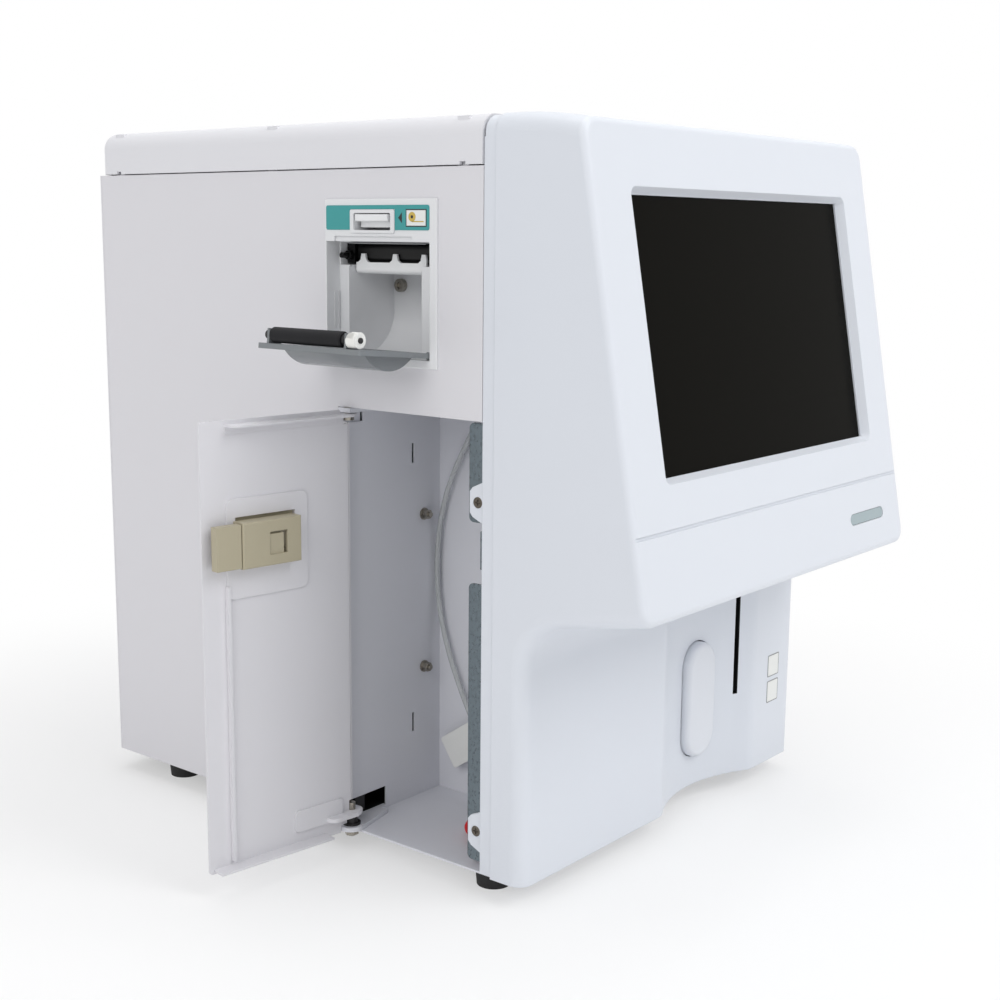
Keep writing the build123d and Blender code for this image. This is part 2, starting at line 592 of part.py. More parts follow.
def make_lower_hinge_bracket():
    bar = block(0, 30, -8, 8, SHEET, SHEET + 2.6)
    bar = Pos(HINGE_X, HINGE_Y, 0) * Rot(0, 0, 14) * bar
    bar += rod_z(SHEET, SHEET + 2.6, HINGE_X, HINGE_Y, 8)
    root = block(14, 36, WALL_Y - 2, WALL_Y + 14, SHEET, SHEET + 2.6)
    leg = block(11.5, 19.6, WALL_Y + SHEET + 0.4, WALL_Y + SHEET + 2.4, SHEET, 34)
    tie = block(11.5, 36, WALL_Y + SHEET + 0.4, WALL_Y + 14, SHEET, SHEET + 2.6)
    step = bar + root + leg + tie
    return step - rod_z(0, 8, HINGE_X, HINGE_Y, PIN_R + 0.02)


def make_lower_hinge_pin():
    pin = rod_z(-3.4, 17.4, HINGE_X, HINGE_Y, PIN_R)
    nut = Pos(HINGE_X, HINGE_Y, -2.6) * extrude(RegularPolygon(4.2, 6), 2.58)
    return pin + nut


def make_hinge_washers():
    low = SHEET + 2.6
    washers = rod_z(low, low + 1.3, HINGE_X, HINGE_Y, 5.4)
    washers += rod_z(low + 1.3, EAR_Z - 0.2, HINGE_X, HINGE_Y, 3.6)
    return washers - rod_z(low - 1, EAR_Z + 1, HINGE_X, HINGE_Y, PIN_R + 0.02)


def make_upper_hinge_bracket():
    low = TOP_EAR_Z + SHEET + 0.5
    plate = block(-2.5, 17, HINGE_Y - 4.5, WALL_Y + 3, low, BAY_TOP - 0.2)
    plate -= block(-3, SHEET + 0.4, HINGE_Y + 4.8, WALL_Y + 4, low - 1, BAY_TOP + 1)
    leg = block(3, 18, WALL_Y + SHEET + 0.3, WALL_Y + SHEET + 2.3, BAY_TOP - 18.5, BAY_TOP - 0.2)
    root = block(3, 18, WALL_Y - 1, WALL_Y + SHEET + 2.3, low, BAY_TOP - 0.2)
    return plate + leg + root - rod_z(low - 1, BAY_TOP + 1, HINGE_X, HINGE_Y, PIN_R + 0.02)


def make_upper_hinge_pin():
    low = TOP_EAR_Z - 1.6
    pin = rod_z(low, BAY_TOP - 0.1, HINGE_X, HINGE_Y, PIN_R)
    return pin + rod_z(low - 1.2, low + 1.0, HINGE_X, HINGE_Y, 3.4)


# Hose: straight runs with tangent arcs
def hose_radii(points):
    out = []
    for a, b, c in zip(points, points[1:], points[2:]):
        one = Vector(*b) - Vector(*a)
        two = Vector(*c) - Vector(*b)
        half = radians(one.get_angle(two)) / 2
        out.append(0.45 * min(one.length, two.length) / tan(half))
    return out


def hose_path():
    radii = hose_radii(HOSE_RUN)
    print("hose bend radii mm", [round(r, 1) for r in radii])
    path = FilletPolyline(*HOSE_RUN, radius=radii)
    print("hose length mm", round(path.length, 1))
    return path


def make_reagent_hose():
    path = hose_path()
    start = Plane(origin=path @ 0, z_dir=path % 0)
    return sweep(start * Circle(HOSE_R), path=path)


def make_hose_fitting():
    x, y, z = HOSE_RUN[0]
    ring = rod_z(CEIL_Z + SHEET, CEIL_Z + SHEET + 6, x, y, 5)
    ring += rod_z(CEIL_Z - 0.6, CEIL_Z + SHEET + 1, x, y, 3.3)
    return ring - rod_z(CEIL_Z - 2, CEIL_Z + 0.6, x, y, 2.5)


def make_hose_tag():
    tag = Pos(79.3, 77.0, 38.8) * Rot(-34, 0, 0) * Box(0.5, 38, 21)
    return fillet(tag.edges().filter_by(Axis.X), 2)


def make_red_cap():
    end = Vector(*HOSE_RUN[-1])
    way = (end - Vector(*HOSE_RUN[-2])).normalized()
    turn = Plane(origin=end - way * 5, z_dir=way)
    cap = Pos(0, 0, CAP_L / 2) * Cylinder(CAP_R, CAP_L)
    cap = fillet(cap.faces().sort_by(Axis.Z)[-1].edges(), 2)
    cap -= Pos(0, 0, 2.49) * Cylinder(HOSE_R + 0.05, 5.02)
    return turn * cap


# Probe on its guide, behind the slot
def make_probe_guide():
    rail = block(SLOT_X - 10, SLOT_X + 10, -76, 24, CAR_Z + 14, CAR_Z + 18)
    rail += block(SLOT_X - 4, SLOT_X + 4, -76, 24, CAR_Z + 9.2, CAR_Z + 14)
    rail += block(SLOT_X - 12, SLOT_X + 12, 20, 24, CAR_Z - 40, CAR_Z + 18)
    return rail + block(SLOT_X - 12, SLOT_X + 12, 20, 30, SHEET, CAR_Z - 38)


def make_probe_carriage():
    y0 = PROBE_Y - 9
    body = block(SLOT_X - 9, SLOT_X + 9, y0, PROBE_Y + 9, CAR_Z - CAR_DOWN, CAR_Z + 13.4)
    body -= block(SLOT_X - 4.3, SLOT_X + 4.3, y0 - 1, PROBE_Y + 10, CAR_Z + 8.8, CAR_Z + 14)
    return body - rod_z(CAR_Z - CAR_DOWN - 1, CAR_Z + 9, SLOT_X, PROBE_Y, 2.55)


def make_sample_probe():
    low = CAR_Z - CAR_DOWN - 1.2
    probe = rod_z(PROBE_TIP + 3, low + 1, SLOT_X, PROBE_Y, PROBE_R)
    probe += Pos(SLOT_X, PROBE_Y, PROBE_TIP + 1.5) * Cone(0.3, PROBE_R, 3)
    probe += rod_z(low, CAR_Z + 8, SLOT_X, PROBE_Y, 2.5)
    return probe + rod_z(low, low + 1.1, SLOT_X, PROBE_Y, 4)


# Thermal printer
def make_printer_bezel():
    frame = block(-BEZ_OUT, 0, BEZ_Y0, BEZ_Y1, BEZ_Z0, BEZ_Z1)
    front = [e for e in frame.edges() if e.center().X < -BEZ_OUT + 0.01]
    frame = fillet(front, 0.6)
    body = frame + block(-0.5, BOX_X, BOX_Y0, BOX_Y1, BOX_Z0, BOX_Z1)
    body -= block(-5, STEP_X, OPEN_Y0, OPEN_Y1, OPEN_Z0, OPEN_Z1)
    trough = rod_y(ROLL_Y0, ROLL_Y1, ROLL_X, ROLL_Z, ROLL_R)
    trough += block(0, ROLL_X + ROLL_R, ROLL_Y0, ROLL_Y1, ROLL_Z, MECH_Z - 0.6)
    body -= trough & block(0, 60, 0, 200, OPEN_Z0 - 3, MECH_Z)
    body -= block(0, 34, OPEN_Y0 + 1, OPEN_Y1 - 0.8, MECH_Z, OPEN_Z1 - 0.6)
    body -= block(0, 33, ROLL_Y0 + 0.5, ROLL_Y1 - 0.5, MECH_Z - 3, MECH_Z + 1)
    body -= block(-BEZ_OUT - 1, -0.4, BEZ_Y0 + 17.9, BEZ_Y1 - 7.7, OPEN_Z1 - 0.1, OPEN_Z1 + 2.8)
    rim = block(-BEZ_OUT - 0.8, 0, LEV_Y0 - 5.1, LEV_Y1 + 3.7, LEV_Z - 4.4, LEV_Z + 8.4)
    rim = fillet(rim.edges().filter_by(Axis.X), 1.2)
    body += rim
    well = block(-5, 14, LEV_Y0 - 2.2, LEV_Y1 + 1.0, LEV_Z - 2.8, LEV_Z + 6.4)
    body -= fillet(well.edges().filter_by(Axis.X), 0.8)
    body -= rod_y(LEV_Y0 - 4.1, LEV_Y1 + 2.9, LEV_X, LEV_Z, LEV_PIN_R + PIN_FIT)
    body -= rod_y(OPEN_Y0 - 2.1, OPEN_Y1 + 0.5, PD_X, PD_Z, TRUN_R + PIN_FIT)
    catch = block(4.3, 4.9, OPEN_Y1 - 0.5, OPEN_Y1 + 0.2, 18.8, 39.8)
    body += catch + block(7.5, 8.1, OPEN_Y1 - 0.5, OPEN_Y1 + 0.2, 18.8, 39.8)
    return body


def make_printer_label():
    plate = block(-BEZ_OUT - 0.3, -BEZ_OUT, OPEN_Y0, OPEN_Y1 - 0.3, LEV_Z - 2.7, BEZ_Z1 - 3.5)
    plate = fillet(plate.edges().filter_by(Axis.X), 1.2)
    return plate - block(-5, 5, LEV_Y0 - 5.2, LEV_Y1 + 3.8, LEV_Z - 6.8, LEV_Z + 8.5)


def make_release_lever():
    bar = block(-BEZ_OUT - 0.9, 3.6, LEV_Y0, LEV_Y1, LEV_Z + 1.9, LEV_Z + 5.9)
    bar = fillet([e for e in bar.edges() if e.center().X < -BEZ_OUT - 0.8], 0.8)
    web = block(1.8, 3.6, LEV_Y0 + 1, LEV_Y1 - 1, LEV_Z - 1.2, LEV_Z + 2.2)
    web += block(1.8, LEV_X, LEV_Y0 + 3, LEV_Y1 - 3, LEV_Z - LEV_PIN_R, LEV_Z + LEV_PIN_R)
    return bar + web + rod_y(LEV_Y0 - 4.0, LEV_Y1 + 2.8, LEV_X, LEV_Z, LEV_PIN_R)


def make_thermal_head():
    head = block(15.6, 33, 45.5, 106.5, 56.2, TEAR_Z)
    head = fillet([e for e in head.edges().filter_by(Axis.Y) if e.center().X < 16], 3)
    for y0, y1 in ((38, 44.6), (107.4, 113)):
        cheek = block(14.0, 32, y0, y1, 55.2, OPEN_Z1 - 1.2)
        head += cheek
    head += block(26, 34, 38, 113, 55.0, 65.8)
    pin = rod_x(6.0, 16, 110.0, 59.8, 1.6) + rod_x(11, 16, 110.0, 59.8, 2.6)
    return head + pin


def make_tear_bar():
    bar = block(7.0, 20, 47.0, 105.0, TEAR_Z, TEAR_Z + 0.65)
    return chamfer([e for e in bar.edges().filter_by(Axis.Y) if e.center().X < 7.1], 0.25)


def make_paper_guide():
    base = 51.6
    low = 56.0
    points = [(ROLL_Y0 + 1, base), (ROLL_Y1 - 1, base), (ROLL_Y1 - 1, low)]
    for y in (100.5, 76.0, 54.5):
        points += [(y + 4.2, low), (y + 2.2, low + 1.4), (y + 1.4, low + 4.8),
                   (y - 1.4, low + 4.8), (y - 2.2, low + 1.4)]
        if y > 55:
            points += [(y - 4.2, low)]
    points += [(ROLL_Y0 + 1, low)]
    lip = extrude(Plane.YZ * make_face(Polyline(*points, close=True)), 1.4)
    lip = Pos(13.9, 0, 0) * lip
    curl = rod_y(ROLL_Y0 + 1, ROLL_Y1 - 1, 16.4, base + 0.6, 2.6)
    curl += block(16, 26, ROLL_Y0 + 1, ROLL_Y1 - 1, base + 1.4, base + 3.2)
    return lip + curl


def make_bucket_screw():
    x1 = ROLL_X + ROLL_R
    screw = rod_x(x1 - 3.0, x1, 100.5, 42.3, 3.8)
    screw -= Pos(x1 - 3.1, 100.5, 42.3) * Rot(0, 90, 0) * extrude(RegularPolygon(2.2, 6), 1.6)
    return screw


def at_printer(shape):
    return Pos(0, 0, PRINTER_Z) * shape


def fold(shape):
    return Pos(PD_X, 0, PD_Z) * Rot(0, -PD_OPEN, 0) * Pos(-PD_X, 0, -PD_Z) * shape


def make_printer_door():
    half = PD_T / 2
    y0 = OPEN_Y0 + PD_GAP
    y1 = OPEN_Y1 - PD_GAP
    plate = block(PD_X - half, PD_X + half, y0, y1, PD_Z + 1.6, PD_Z + PD_LEN)
    plate = fillet([e for e in plate.edges().filter_by(Axis.X) if e.center().Z > PD_Z + 30], 2)
    big = (PD_BULGE_HALF ** 2 + PD_BULGE ** 2) / (2 * PD_BULGE)
    cx = PD_X - half + big - PD_BULGE
    cz = PD_Z + PD_BULGE_U
    bulge = rod_y(PD_BULGE_Y0, PD_BULGE_Y1, cx, cz, big)
    bulge &= block(-20, PD_X, 0, 200, cz - 30, cz + 30)
    scoop_in = rod_y(PD_BULGE_Y0 + 1.6, PD_BULGE_Y1 - 1.6, cx, cz, big - 1.6)
    scoop_in &= block(-20, PD_X + half + 1, 0, 200, cz - PD_BULGE_HALF, cz + PD_BULGE_HALF)
    door = plate + bulge - scoop_in
    for a, b in ((y0, y0 + 4), (y1 - 4, y1)):
        door += rod_y(a, b, PD_X, PD_Z, 2.1)
        door += block(PD_X - half, PD_X + half, a, b, PD_Z, PD_Z + 4)
    door += rod_y(OPEN_Y0 - 1.9, y0 + 1, PD_X, PD_Z, TRUN_R)
    door += rod_y(y1 - 1, OPEN_Y1 + 0.4, PD_X, PD_Z, TRUN_R)
    return fold(door)


def make_roller_brackets():
    x1 = PD_X + PLAT_N
    z = PD_Z + PLAT_U
    out = []
    for y in (46.2, 104.6):
        plate = block(PD_X + PD_T / 2, x1 + 3.4, y, y + 1.6, z - 6.5, z + 2.6)
        plate -= rod_y(y - 1, y + 3, x1, z, SHAFT_R + PIN_FIT)
        foot = block(PD_X + PD_T / 2, PD_X + PD_T / 2 + 0.9, y, y + 3.5, z - 6.5, z + 1.0)
        out.append(fold(plate + foot))
    return group(out)


def make_platen_roller():
    x = PD_X + PLAT_N
    z = PD_Z + PLAT_U
    tube = rod_y(50.2, 103.4, x, z, PLAT_R) - rod_y(50, 104, x, z, SHAFT_R)
    ends = [e for e in tube.edges().filter_by(GeomType.CIRCLE) if e.radius > SHAFT_R + 1]
    return fold(chamfer(ends, 0.7))


def make_roller_shaft():
    x = PD_X + PLAT_N
    z = PD_Z + PLAT_U
    shaft = rod_y(38.2, 108.2, x, z, SHAFT_R)
    shaft += rod_y(48.1, 50.2, x, z, 2.8) + rod_y(103.4, 104.3, x, z, 2.8)
    return fold(shaft + rod_y(106.5, 108.2, x, z, 2.4))


def make_roller_gear():
    x = PD_X + PLAT_N
    z = PD_Z + PLAT_U
    gear = rod_y(39.0, 45.6, x, z, GEAR_R)
    for i in range(GEAR_TEETH):
        notch = Pos(GEAR_R, 0, 0) * Rot(0, 0, 45) * Box(0.72, 0.72, 5.2)
        tooth = Rot(0, 0, 79.8 * i / GEAR_TEETH) * notch
        gear -= Pos(x, 43.2, z) * Rot(90, 0, 0) * tooth
    return fold(gear - rod_y(38, 47, x, z, SHAFT_R))


# Back of the cabinet
def make_power_inlet():
    y1 = DEPTH
    body = block(INLET_X - 23.6, INLET_X + 23.6, y1 - 30, y1 + 0.2, INLET_Z - 12.6, INLET_Z + 12.6)
    body += block(INLET_X - 27, INLET_X + 27, y1 + 0.02, y1 + 3.0, INLET_Z - 15.5, INLET_Z + 15.5)
    cup = block(INLET_X - 21, INLET_X + 1.5, y1 - 14, y1 + 5, INLET_Z - 7.8, INLET_Z + 7.8)
    cup = chamfer([e for e in cup.edges().filter_by(Axis.Y) if e.center().Z < INLET_Z], 3)
    body -= cup
    for x, z in ((-15, -1.5), (-9.8, 2.4), (-4.6, -1.5)):
        body += block(INLET_X + x - 1, INLET_X + x + 1, y1 - 15, y1 - 3, INLET_Z + z - 2, INLET_Z + z + 2)
    body -= block(INLET_X + 6.0, INLET_X + 20.0, y1 - 12, y1 + 5, INLET_Z - 10.6, INLET_Z + 10.6)
    return body - rod_x(INLET_X + 4, INLET_X + 22, y1 - 3.6, INLET_Z, 1.0 + PIN_FIT)


def make_power_switch():
    rocker = extrude(Plane.YZ * make_face(Polyline(
        (2.2, -9.6), (1.2, 0), (4.4, 9.6), (-3.0, 8.4), (-5.6, 0), (-5.0, -8.4), close=True)), 13.2)
    rocker = Pos(INLET_X + 6.4, DEPTH - 1.4, INLET_Z) * rocker
    return rocker + rod_x(INLET_X + 4.2, INLET_X + 21.8, DEPTH - 3.6, INLET_Z, 1.0)


def make_cooling_fan():
    y1 = DEPTH - SHEET
    frame = block(FAN_X - FAN_HALF, FAN_X + FAN_HALF, y1 - 25, y1, FAN_Z - FAN_HALF, FAN_Z + FAN_HALF)
    frame -= rod_y(y1 - 26, y1 + 1, FAN_X, FAN_Z, FAN_HALF - 2.2)
    frame += rod_y(y1 - 25, y1 - 21.5, FAN_X, FAN_Z, 14)
    for turn in (0, 90):
        arm = Pos(FAN_X, y1 - 23.5, FAN_Z) * Rot(0, 45 + turn, 0) * Box(2 * FAN_HALF - 3, 3, 4)
        frame += arm
    frame -= rod_y(y1 - 23, y1 - 20, FAN_X, FAN_Z, 2.0 + PIN_FIT)
    return frame


def make_fan_rotor():
    y1 = DEPTH - SHEET
    hub = rod_y(y1 - 20.5, y1 - 4, FAN_X, FAN_Z, 15)
    hub += rod_y(y1 - 22.6, y1 - 20, FAN_X, FAN_Z, 2.0)
    for i in range(7):
        blade = Pos(25, 0, 0) * Rot(35, 0, 0) * Box(21, 1.4, 17)
        blade = Rot(90, 0, 0) * Rot(0, 0, 360 * i / 7) * blade
        hub += Pos(FAN_X, y1 - 12.2, FAN_Z) * blade
    return hub


def make_fluid_ports():
    out = []
    for i in range(4):
        x = PORT_X + PORT_STEP * i
        port = rod_y(DEPTH - 12, DEPTH + 2, x, PORT_Z, 5.0)
        port += rod_y(DEPTH + 0.02, DEPTH + 4, x, PORT_Z, 7.4)
        port += rod_y(DEPTH + 3, DEPTH + 11, x, PORT_Z, 3.2)
        for y in (6.0, 8.4):
            port += Pos(x, DEPTH + y, PORT_Z) * Rot(-90, 0, 0) * Cone(4.0, 3.2, 2.2)
        port -= rod_y(DEPTH - 4, DEPTH + 12, x, PORT_Z, 1.8)
        out.append(port)
    return group(out)


def make_data_ports():
    y1 = DEPTH
    half_x = DATA_HALF_X - 0.4
    half_z = DATA_HALF_Z - 0.4
    bar = block(DATA_X - half_x, DATA_X + half_x, y1 - 16, y1 - 0.4, DATA_Z - half_z, DATA_Z + half_z)
    for x in (-38, -22, -6):
        bar -= block(DATA_X + x, DATA_X + x + 13.4, y1 - 12, y1 + 1, DATA_Z - 3, DATA_Z + 3)
        bar += block(DATA_X + x + 0.6, DATA_X + x + 12.8, y1 - 13, y1 - 2.5, DATA_Z + 0.4, DATA_Z + 2.2)
    bar -= block(DATA_X + 14, DATA_X + 30, y1 - 13, y1 + 1, DATA_Z - 6.4, DATA_Z + 6.4)
    return bar


def make_case_screws():
    out = []
    for x, z in [(x, z) for x in REAR_SCREW_X for z in REAR_SCREW_Z]:
        head = Pos(x, DEPTH + 0.9, z) * Rot(-90, 0, 0) * Cone(3.0, 2.2, 1.8)
        head += rod_y(DEPTH - 7, DEPTH + 0.5, x, z, REAR_SCREW_R)
        head -= Pos(x, DEPTH + 1.8, z) * Box(3.6, 1.2, 0.7)
        head -= Pos(x, DEPTH + 1.8, z) * Box(0.7, 1.2, 3.6)
        out.append(head)
    return group(out)


# Inside the cabinet
def make_inner_chassis():
    x0 = CHASSIS_X
    x1 = WIDTH - 4.0
    y1 = DEPTH - 5.0
    wall = block(x0, x0 + CHASSIS_T, 26, DEPTH - 21, SHEET, SIDE_TOP - 15)
    foot = block(x0, x0 + 14, 26, DEPTH - 21, SHEET, SHEET + CHASSIS_T)
    shelf = block(x0, x1, 120, y1, SHELF_Z, SHELF_Z + CHASSIS_T)
    post = block(x1 - 2, x1, 120, y1, SHEET + 14, SHELF_Z + CHASSIS_T)
    post += block(x1 - 10, x1, 120, y1, SHEET, SHEET + CHASSIS_T)
    post += block(x1 - 2, x1, 120, y1, SHEET, SHEET + 15)
    arm = block(50, x0 + 1, 60, 100, SIDE_TOP - 12, SIDE_TOP - 12 + CHASSIS_T)
    arm += block(x0, x0 + CHASSIS_T, 60, 100, SIDE_TOP - 16, SIDE_TOP - 12 + CHASSIS_T)
    frame = wall + foot + shelf + post + arm
    for i in range(4):
        frame -= rod_x(x0 - 1, x0 + 3, 60 + 70 * i, 110, 9)
    return frame


def make_power_supply():
    x1 = WIDTH - 18.0
    y0 = DEPTH - 153.0
    box = block(x1 - 82, x1, y0, y0 + 92, SHEET, 46)
    for i in range(6):
        box -= block(x1 - 86, x1 - 79, y0 + 10 + 13 * i, y0 + 16 + 13 * i, 12, 38)
    return box


def make_main_board():
    x0 = CHASSIS_X + CHASSIS_T
    y1 = DEPTH - 29.0
    z1 = SIDE_TOP - 28.0
    board = block(x0 + 5, x0 + 6.6, y1 - 160, y1, z1 - 150, z1)
    for y in (y1 - 154, y1 - 6):
        for z in (z1 - 144, z1 - 6):
            board += rod_x(x0, x0 + 6, y, z, 3)
    board += block(x0 + 6, x0 + 16, y1 - 120, y1 - 85, z1 - 100, z1 - 65)
    return board + block(x0 + 6, x0 + 20, y1 - 12, y1, z1 - 90, z1 - 55)


def make_syringe_pump():
    x0 = CHASSIS_X + CHASSIS_T
    base = block(x0, x0 + 40, 60, 105, 60, 190)
    base += rod_z(190, 235, x0 + 20, 82, 9)
    return base + rod_z(235, 243, x0 + 20, 82, 4)


def make_counting_chamber():
    x0 = CHASSIS_X + CHASSIS_T
    box = block(x0, x0 + 60, 125, 180, 110, 190)
    box = fillet(box.edges().filter_by(Axis.Z), 4)
    return box + rod_z(190, 200, x0 + 20, 150, 6) + rod_z(190, 200, x0 + 42, 150, 6)


def make_vacuum_pump():
    y1 = DEPTH - 48.0
    body = rod_y(y1 - 60, y1, 150, 40, 24) + rod_y(y1 - 75, y1 - 59, 150, 40, 18)
    return body + block(132, 168, y1 - 60, y1, SHEET, 24)


def make_valve_bank():
    out = block(130, 190, 60, 84, SHEET, 10)
    for i in range(4):
        x = 138 + 14.5 * i
        out += block(x - 6, x + 6, 62, 82, 9, 40)
    return out


def save(name, shape):
    home = Pos(-FOOT_X, -FOOT_Y0, FOOT_H)
    export_step(home * shape, "parts/" + name + ".step")


def main():
    os.makedirs("parts", exist_ok=True)
    save("front_shell", make_front_shell())
    save("shell_screws", make_shell_screws())
    save("screen_glass", make_screen_glass())
    save("display_module", make_display_module())
    save("status_light", make_status_light())
    save("aspirate_key", make_aspirate_key())
    save("aspirate_switch", make_aspirate_switch())
    save("probe_guide", make_probe_guide())
    save("probe_carriage", make_probe_carriage())
    save("sample_probe", make_sample_probe())
    save("base_plate", make_base_plate())
    save("left_side_panel", make_left_panel())
    save("right_side_panel", make_right_panel())
    save("rear_panel", make_rear_panel())
    save("top_cover", make_top_cover())
    feet = [
        ("foot_front_left", FOOT_X, FOOT_Y0),
        ("foot_front_right", WIDTH - FOOT_X, FOOT_Y0),
        ("foot_rear_left", FOOT_X, FOOT_Y1),
        ("foot_rear_right", WIDTH - FOOT_X, FOOT_Y1),
    ]
    for name, x, y in feet:
        save(name, make_foot(x, y))
    save("compartment_liner", make_liner())
    save("wall_fasteners", make_wall_fasteners())
    save("front_bracket", make_front_bracket())
    save("reagent_door", make_reagent_door())
    save("latch_body", make_latch_body())
    save("latch_bolt", make_latch_bolt())
    save("lower_hinge_bracket", make_lower_hinge_bracket())
    save("lower_hinge_pin", make_lower_hinge_pin())
    save("hinge_washers", make_hinge_washers())
    save("upper_hinge_bracket", make_upper_hinge_bracket())
    save("upper_hinge_pin", make_upper_hinge_pin())
    save("reagent_hose", make_reagent_hose())
    save("hose_fitting", make_hose_fitting())
    save("hose_tag", make_hose_tag())
    save("red_end_cap", make_red_cap())
    save("printer_bezel", at_printer(make_printer_bezel()))
    save("printer_label", at_printer(make_printer_label()))
    save("release_lever", at_printer(make_release_lever()))
    save("thermal_head", at_printer(make_thermal_head()))
    save("tear_bar", at_printer(make_tear_bar()))
    save("paper_guide", at_printer(make_paper_guide()))
    save("bucket_screw", at_printer(make_bucket_screw()))
    save("printer_door", at_printer(make_printer_door()))
    save("roller_brackets", at_printer(make_roller_brackets()))
    save("platen_roller", at_printer(make_platen_roller()))
    save("roller_shaft", at_printer(make_roller_shaft()))
    save("roller_gear", at_printer(make_roller_gear()))
    save("power_inlet", make_power_inlet())
    save("power_switch", make_power_switch())
    save("cooling_fan", make_cooling_fan())
    save("fan_rotor", make_fan_rotor())
    save("fluid_ports", make_fluid_ports())
    save("data_ports", make_data_ports())
    save("case_screws", make_case_screws())
    save("inner_chassis", make_inner_chassis())
    save("power_supply", make_power_supply())
    save("main_board", make_main_board())
    save("syringe_pump", make_syringe_pump())
    save("counting_chamber", make_counting_chamber())
    save("vacuum_pump", make_vacuum_pump())
    save("valve_bank", make_valve_bank())


main()
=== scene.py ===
# %% [markdown]
# # A bench blood analyser, dressed for the camera
# The solids of the analyser come ready made from the CAD source and stay where they are. This
# notebook gives them light, a camera and finishes, and adds the few things that are too thin or
# too soft for CAD: the hose, the printing on the printer's plate and two small bare plates.
# All lengths are in metres. +Z is up, the screen faces -Y and the printer is on the -X side.

# %% Load the frame
import json
import math

import bmesh
import bpy
from mathutils import Matrix, Vector


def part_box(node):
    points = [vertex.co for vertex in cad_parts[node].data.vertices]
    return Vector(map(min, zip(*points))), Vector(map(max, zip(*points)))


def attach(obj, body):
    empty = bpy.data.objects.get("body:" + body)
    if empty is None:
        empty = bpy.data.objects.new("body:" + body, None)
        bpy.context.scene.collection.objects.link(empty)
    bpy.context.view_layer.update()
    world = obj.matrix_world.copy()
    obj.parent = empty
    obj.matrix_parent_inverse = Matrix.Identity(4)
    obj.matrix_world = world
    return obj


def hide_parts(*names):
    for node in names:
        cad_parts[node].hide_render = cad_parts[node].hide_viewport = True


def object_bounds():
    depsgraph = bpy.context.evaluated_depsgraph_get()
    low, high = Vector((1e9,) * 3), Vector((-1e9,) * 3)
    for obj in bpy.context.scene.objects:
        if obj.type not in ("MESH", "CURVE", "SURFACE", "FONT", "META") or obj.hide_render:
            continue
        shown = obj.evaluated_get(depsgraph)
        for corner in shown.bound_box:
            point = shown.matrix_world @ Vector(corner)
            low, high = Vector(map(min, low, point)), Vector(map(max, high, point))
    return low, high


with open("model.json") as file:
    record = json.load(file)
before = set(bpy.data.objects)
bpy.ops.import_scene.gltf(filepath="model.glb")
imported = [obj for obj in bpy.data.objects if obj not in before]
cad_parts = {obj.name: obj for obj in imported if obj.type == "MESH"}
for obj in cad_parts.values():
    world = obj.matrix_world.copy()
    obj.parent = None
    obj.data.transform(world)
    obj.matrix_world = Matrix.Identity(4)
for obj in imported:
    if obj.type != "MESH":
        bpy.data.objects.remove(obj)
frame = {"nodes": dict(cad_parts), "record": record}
cad_low, cad_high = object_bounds()
nodes = frame["nodes"]
scene = bpy.context.scene
MM = 0.001
print("solids:", len(nodes), "box:", tuple(round(v, 4) for v in cad_high - cad_low))

# %% [markdown]
# ## Places on the cabinet
# The drawing of the analyser measures from the cabinet's lower left edge at the seam between the
# moulded front and the sheet metal. The frame's origin is under the front left foot, so one helper
# moves a drawing place into the frame. The left panel, the base and the front, which reaches a
# little way behind the seam, give the zero lines.

# %% Drawing places
BEHIND_SEAM = 10 * MM
X0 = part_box("left_side_panel")[0].x
Y0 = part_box("front_shell")[1].y - BEHIND_SEAM
Z0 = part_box("base_plate")[0].z


def at(x, y, z):
    """A place of the drawing, in millimetres, as a place in the frame."""
    return Vector((X0 + x * MM, Y0 + y * MM, Z0 + z * MM))


print("drawing zero:", tuple(round(v, 4) for v in at(0, 0, 0)))

# %% [markdown]
# ## Camera
# The photograph was taken from the front left, a little above the screen. Its heading, pitch and
# roll came from the straight edges of the cabinet, which all have to meet in three far points. The
# focal length is in pixels of a 1000 pixel wide picture, so it turns into millimetres of lens by
# the width of the sensor.

# %% Camera
HEADING = math.radians(50.992)
PITCH = math.radians(-10.073)
ROLL = math.radians(0.519)
FOCAL_PIXELS = 1494.35
PICTURE_PIXELS = 1000
SENSOR = 36.0
CAMERA_PLACE = at(-604.11, -501.62, 352.27)
FARTHEST = 50

camera_data = bpy.data.cameras.new("camera")
camera_data.sensor_width = SENSOR
camera_data.lens = FOCAL_PIXELS * SENSOR / PICTURE_PIXELS
camera = bpy.data.objects.new("camera", camera_data)
scene.collection.objects.link(camera)
forward = Vector((
    math.sin(HEADING) * math.cos(PITCH), math.cos(HEADING) * math.cos(PITCH), math.sin(PITCH)))
level = forward.cross(Vector((0, 0, 1))).normalized()
upright = level.cross(forward)
right = level * math.cos(ROLL) + upright * math.sin(ROLL)
up = right.cross(forward)
turn = Matrix((right, up, -forward)).transposed()
camera.matrix_world = Matrix.Translation(CAMERA_PLACE) @ turn.to_4x4()
camera_data.clip_end = FARTHEST
scene.camera = camera
print("lens mm:", round(camera_data.lens, 2))

# %% [markdown]
# ## Light
# A white appliance on white needs light that is soft but not even: the front is a little brighter
# than the side, so the corner between them reads. The sky gives most of the light, and three large
# soft boxes stand in front, at the left and above. The camera, and whatever mirrors or looks
# through, sees the sky as plain white, which is a trick of the Light Path node and adds no light to
# the object. The floor uses the same trick, so two short helpers build it.

# %% Node helpers


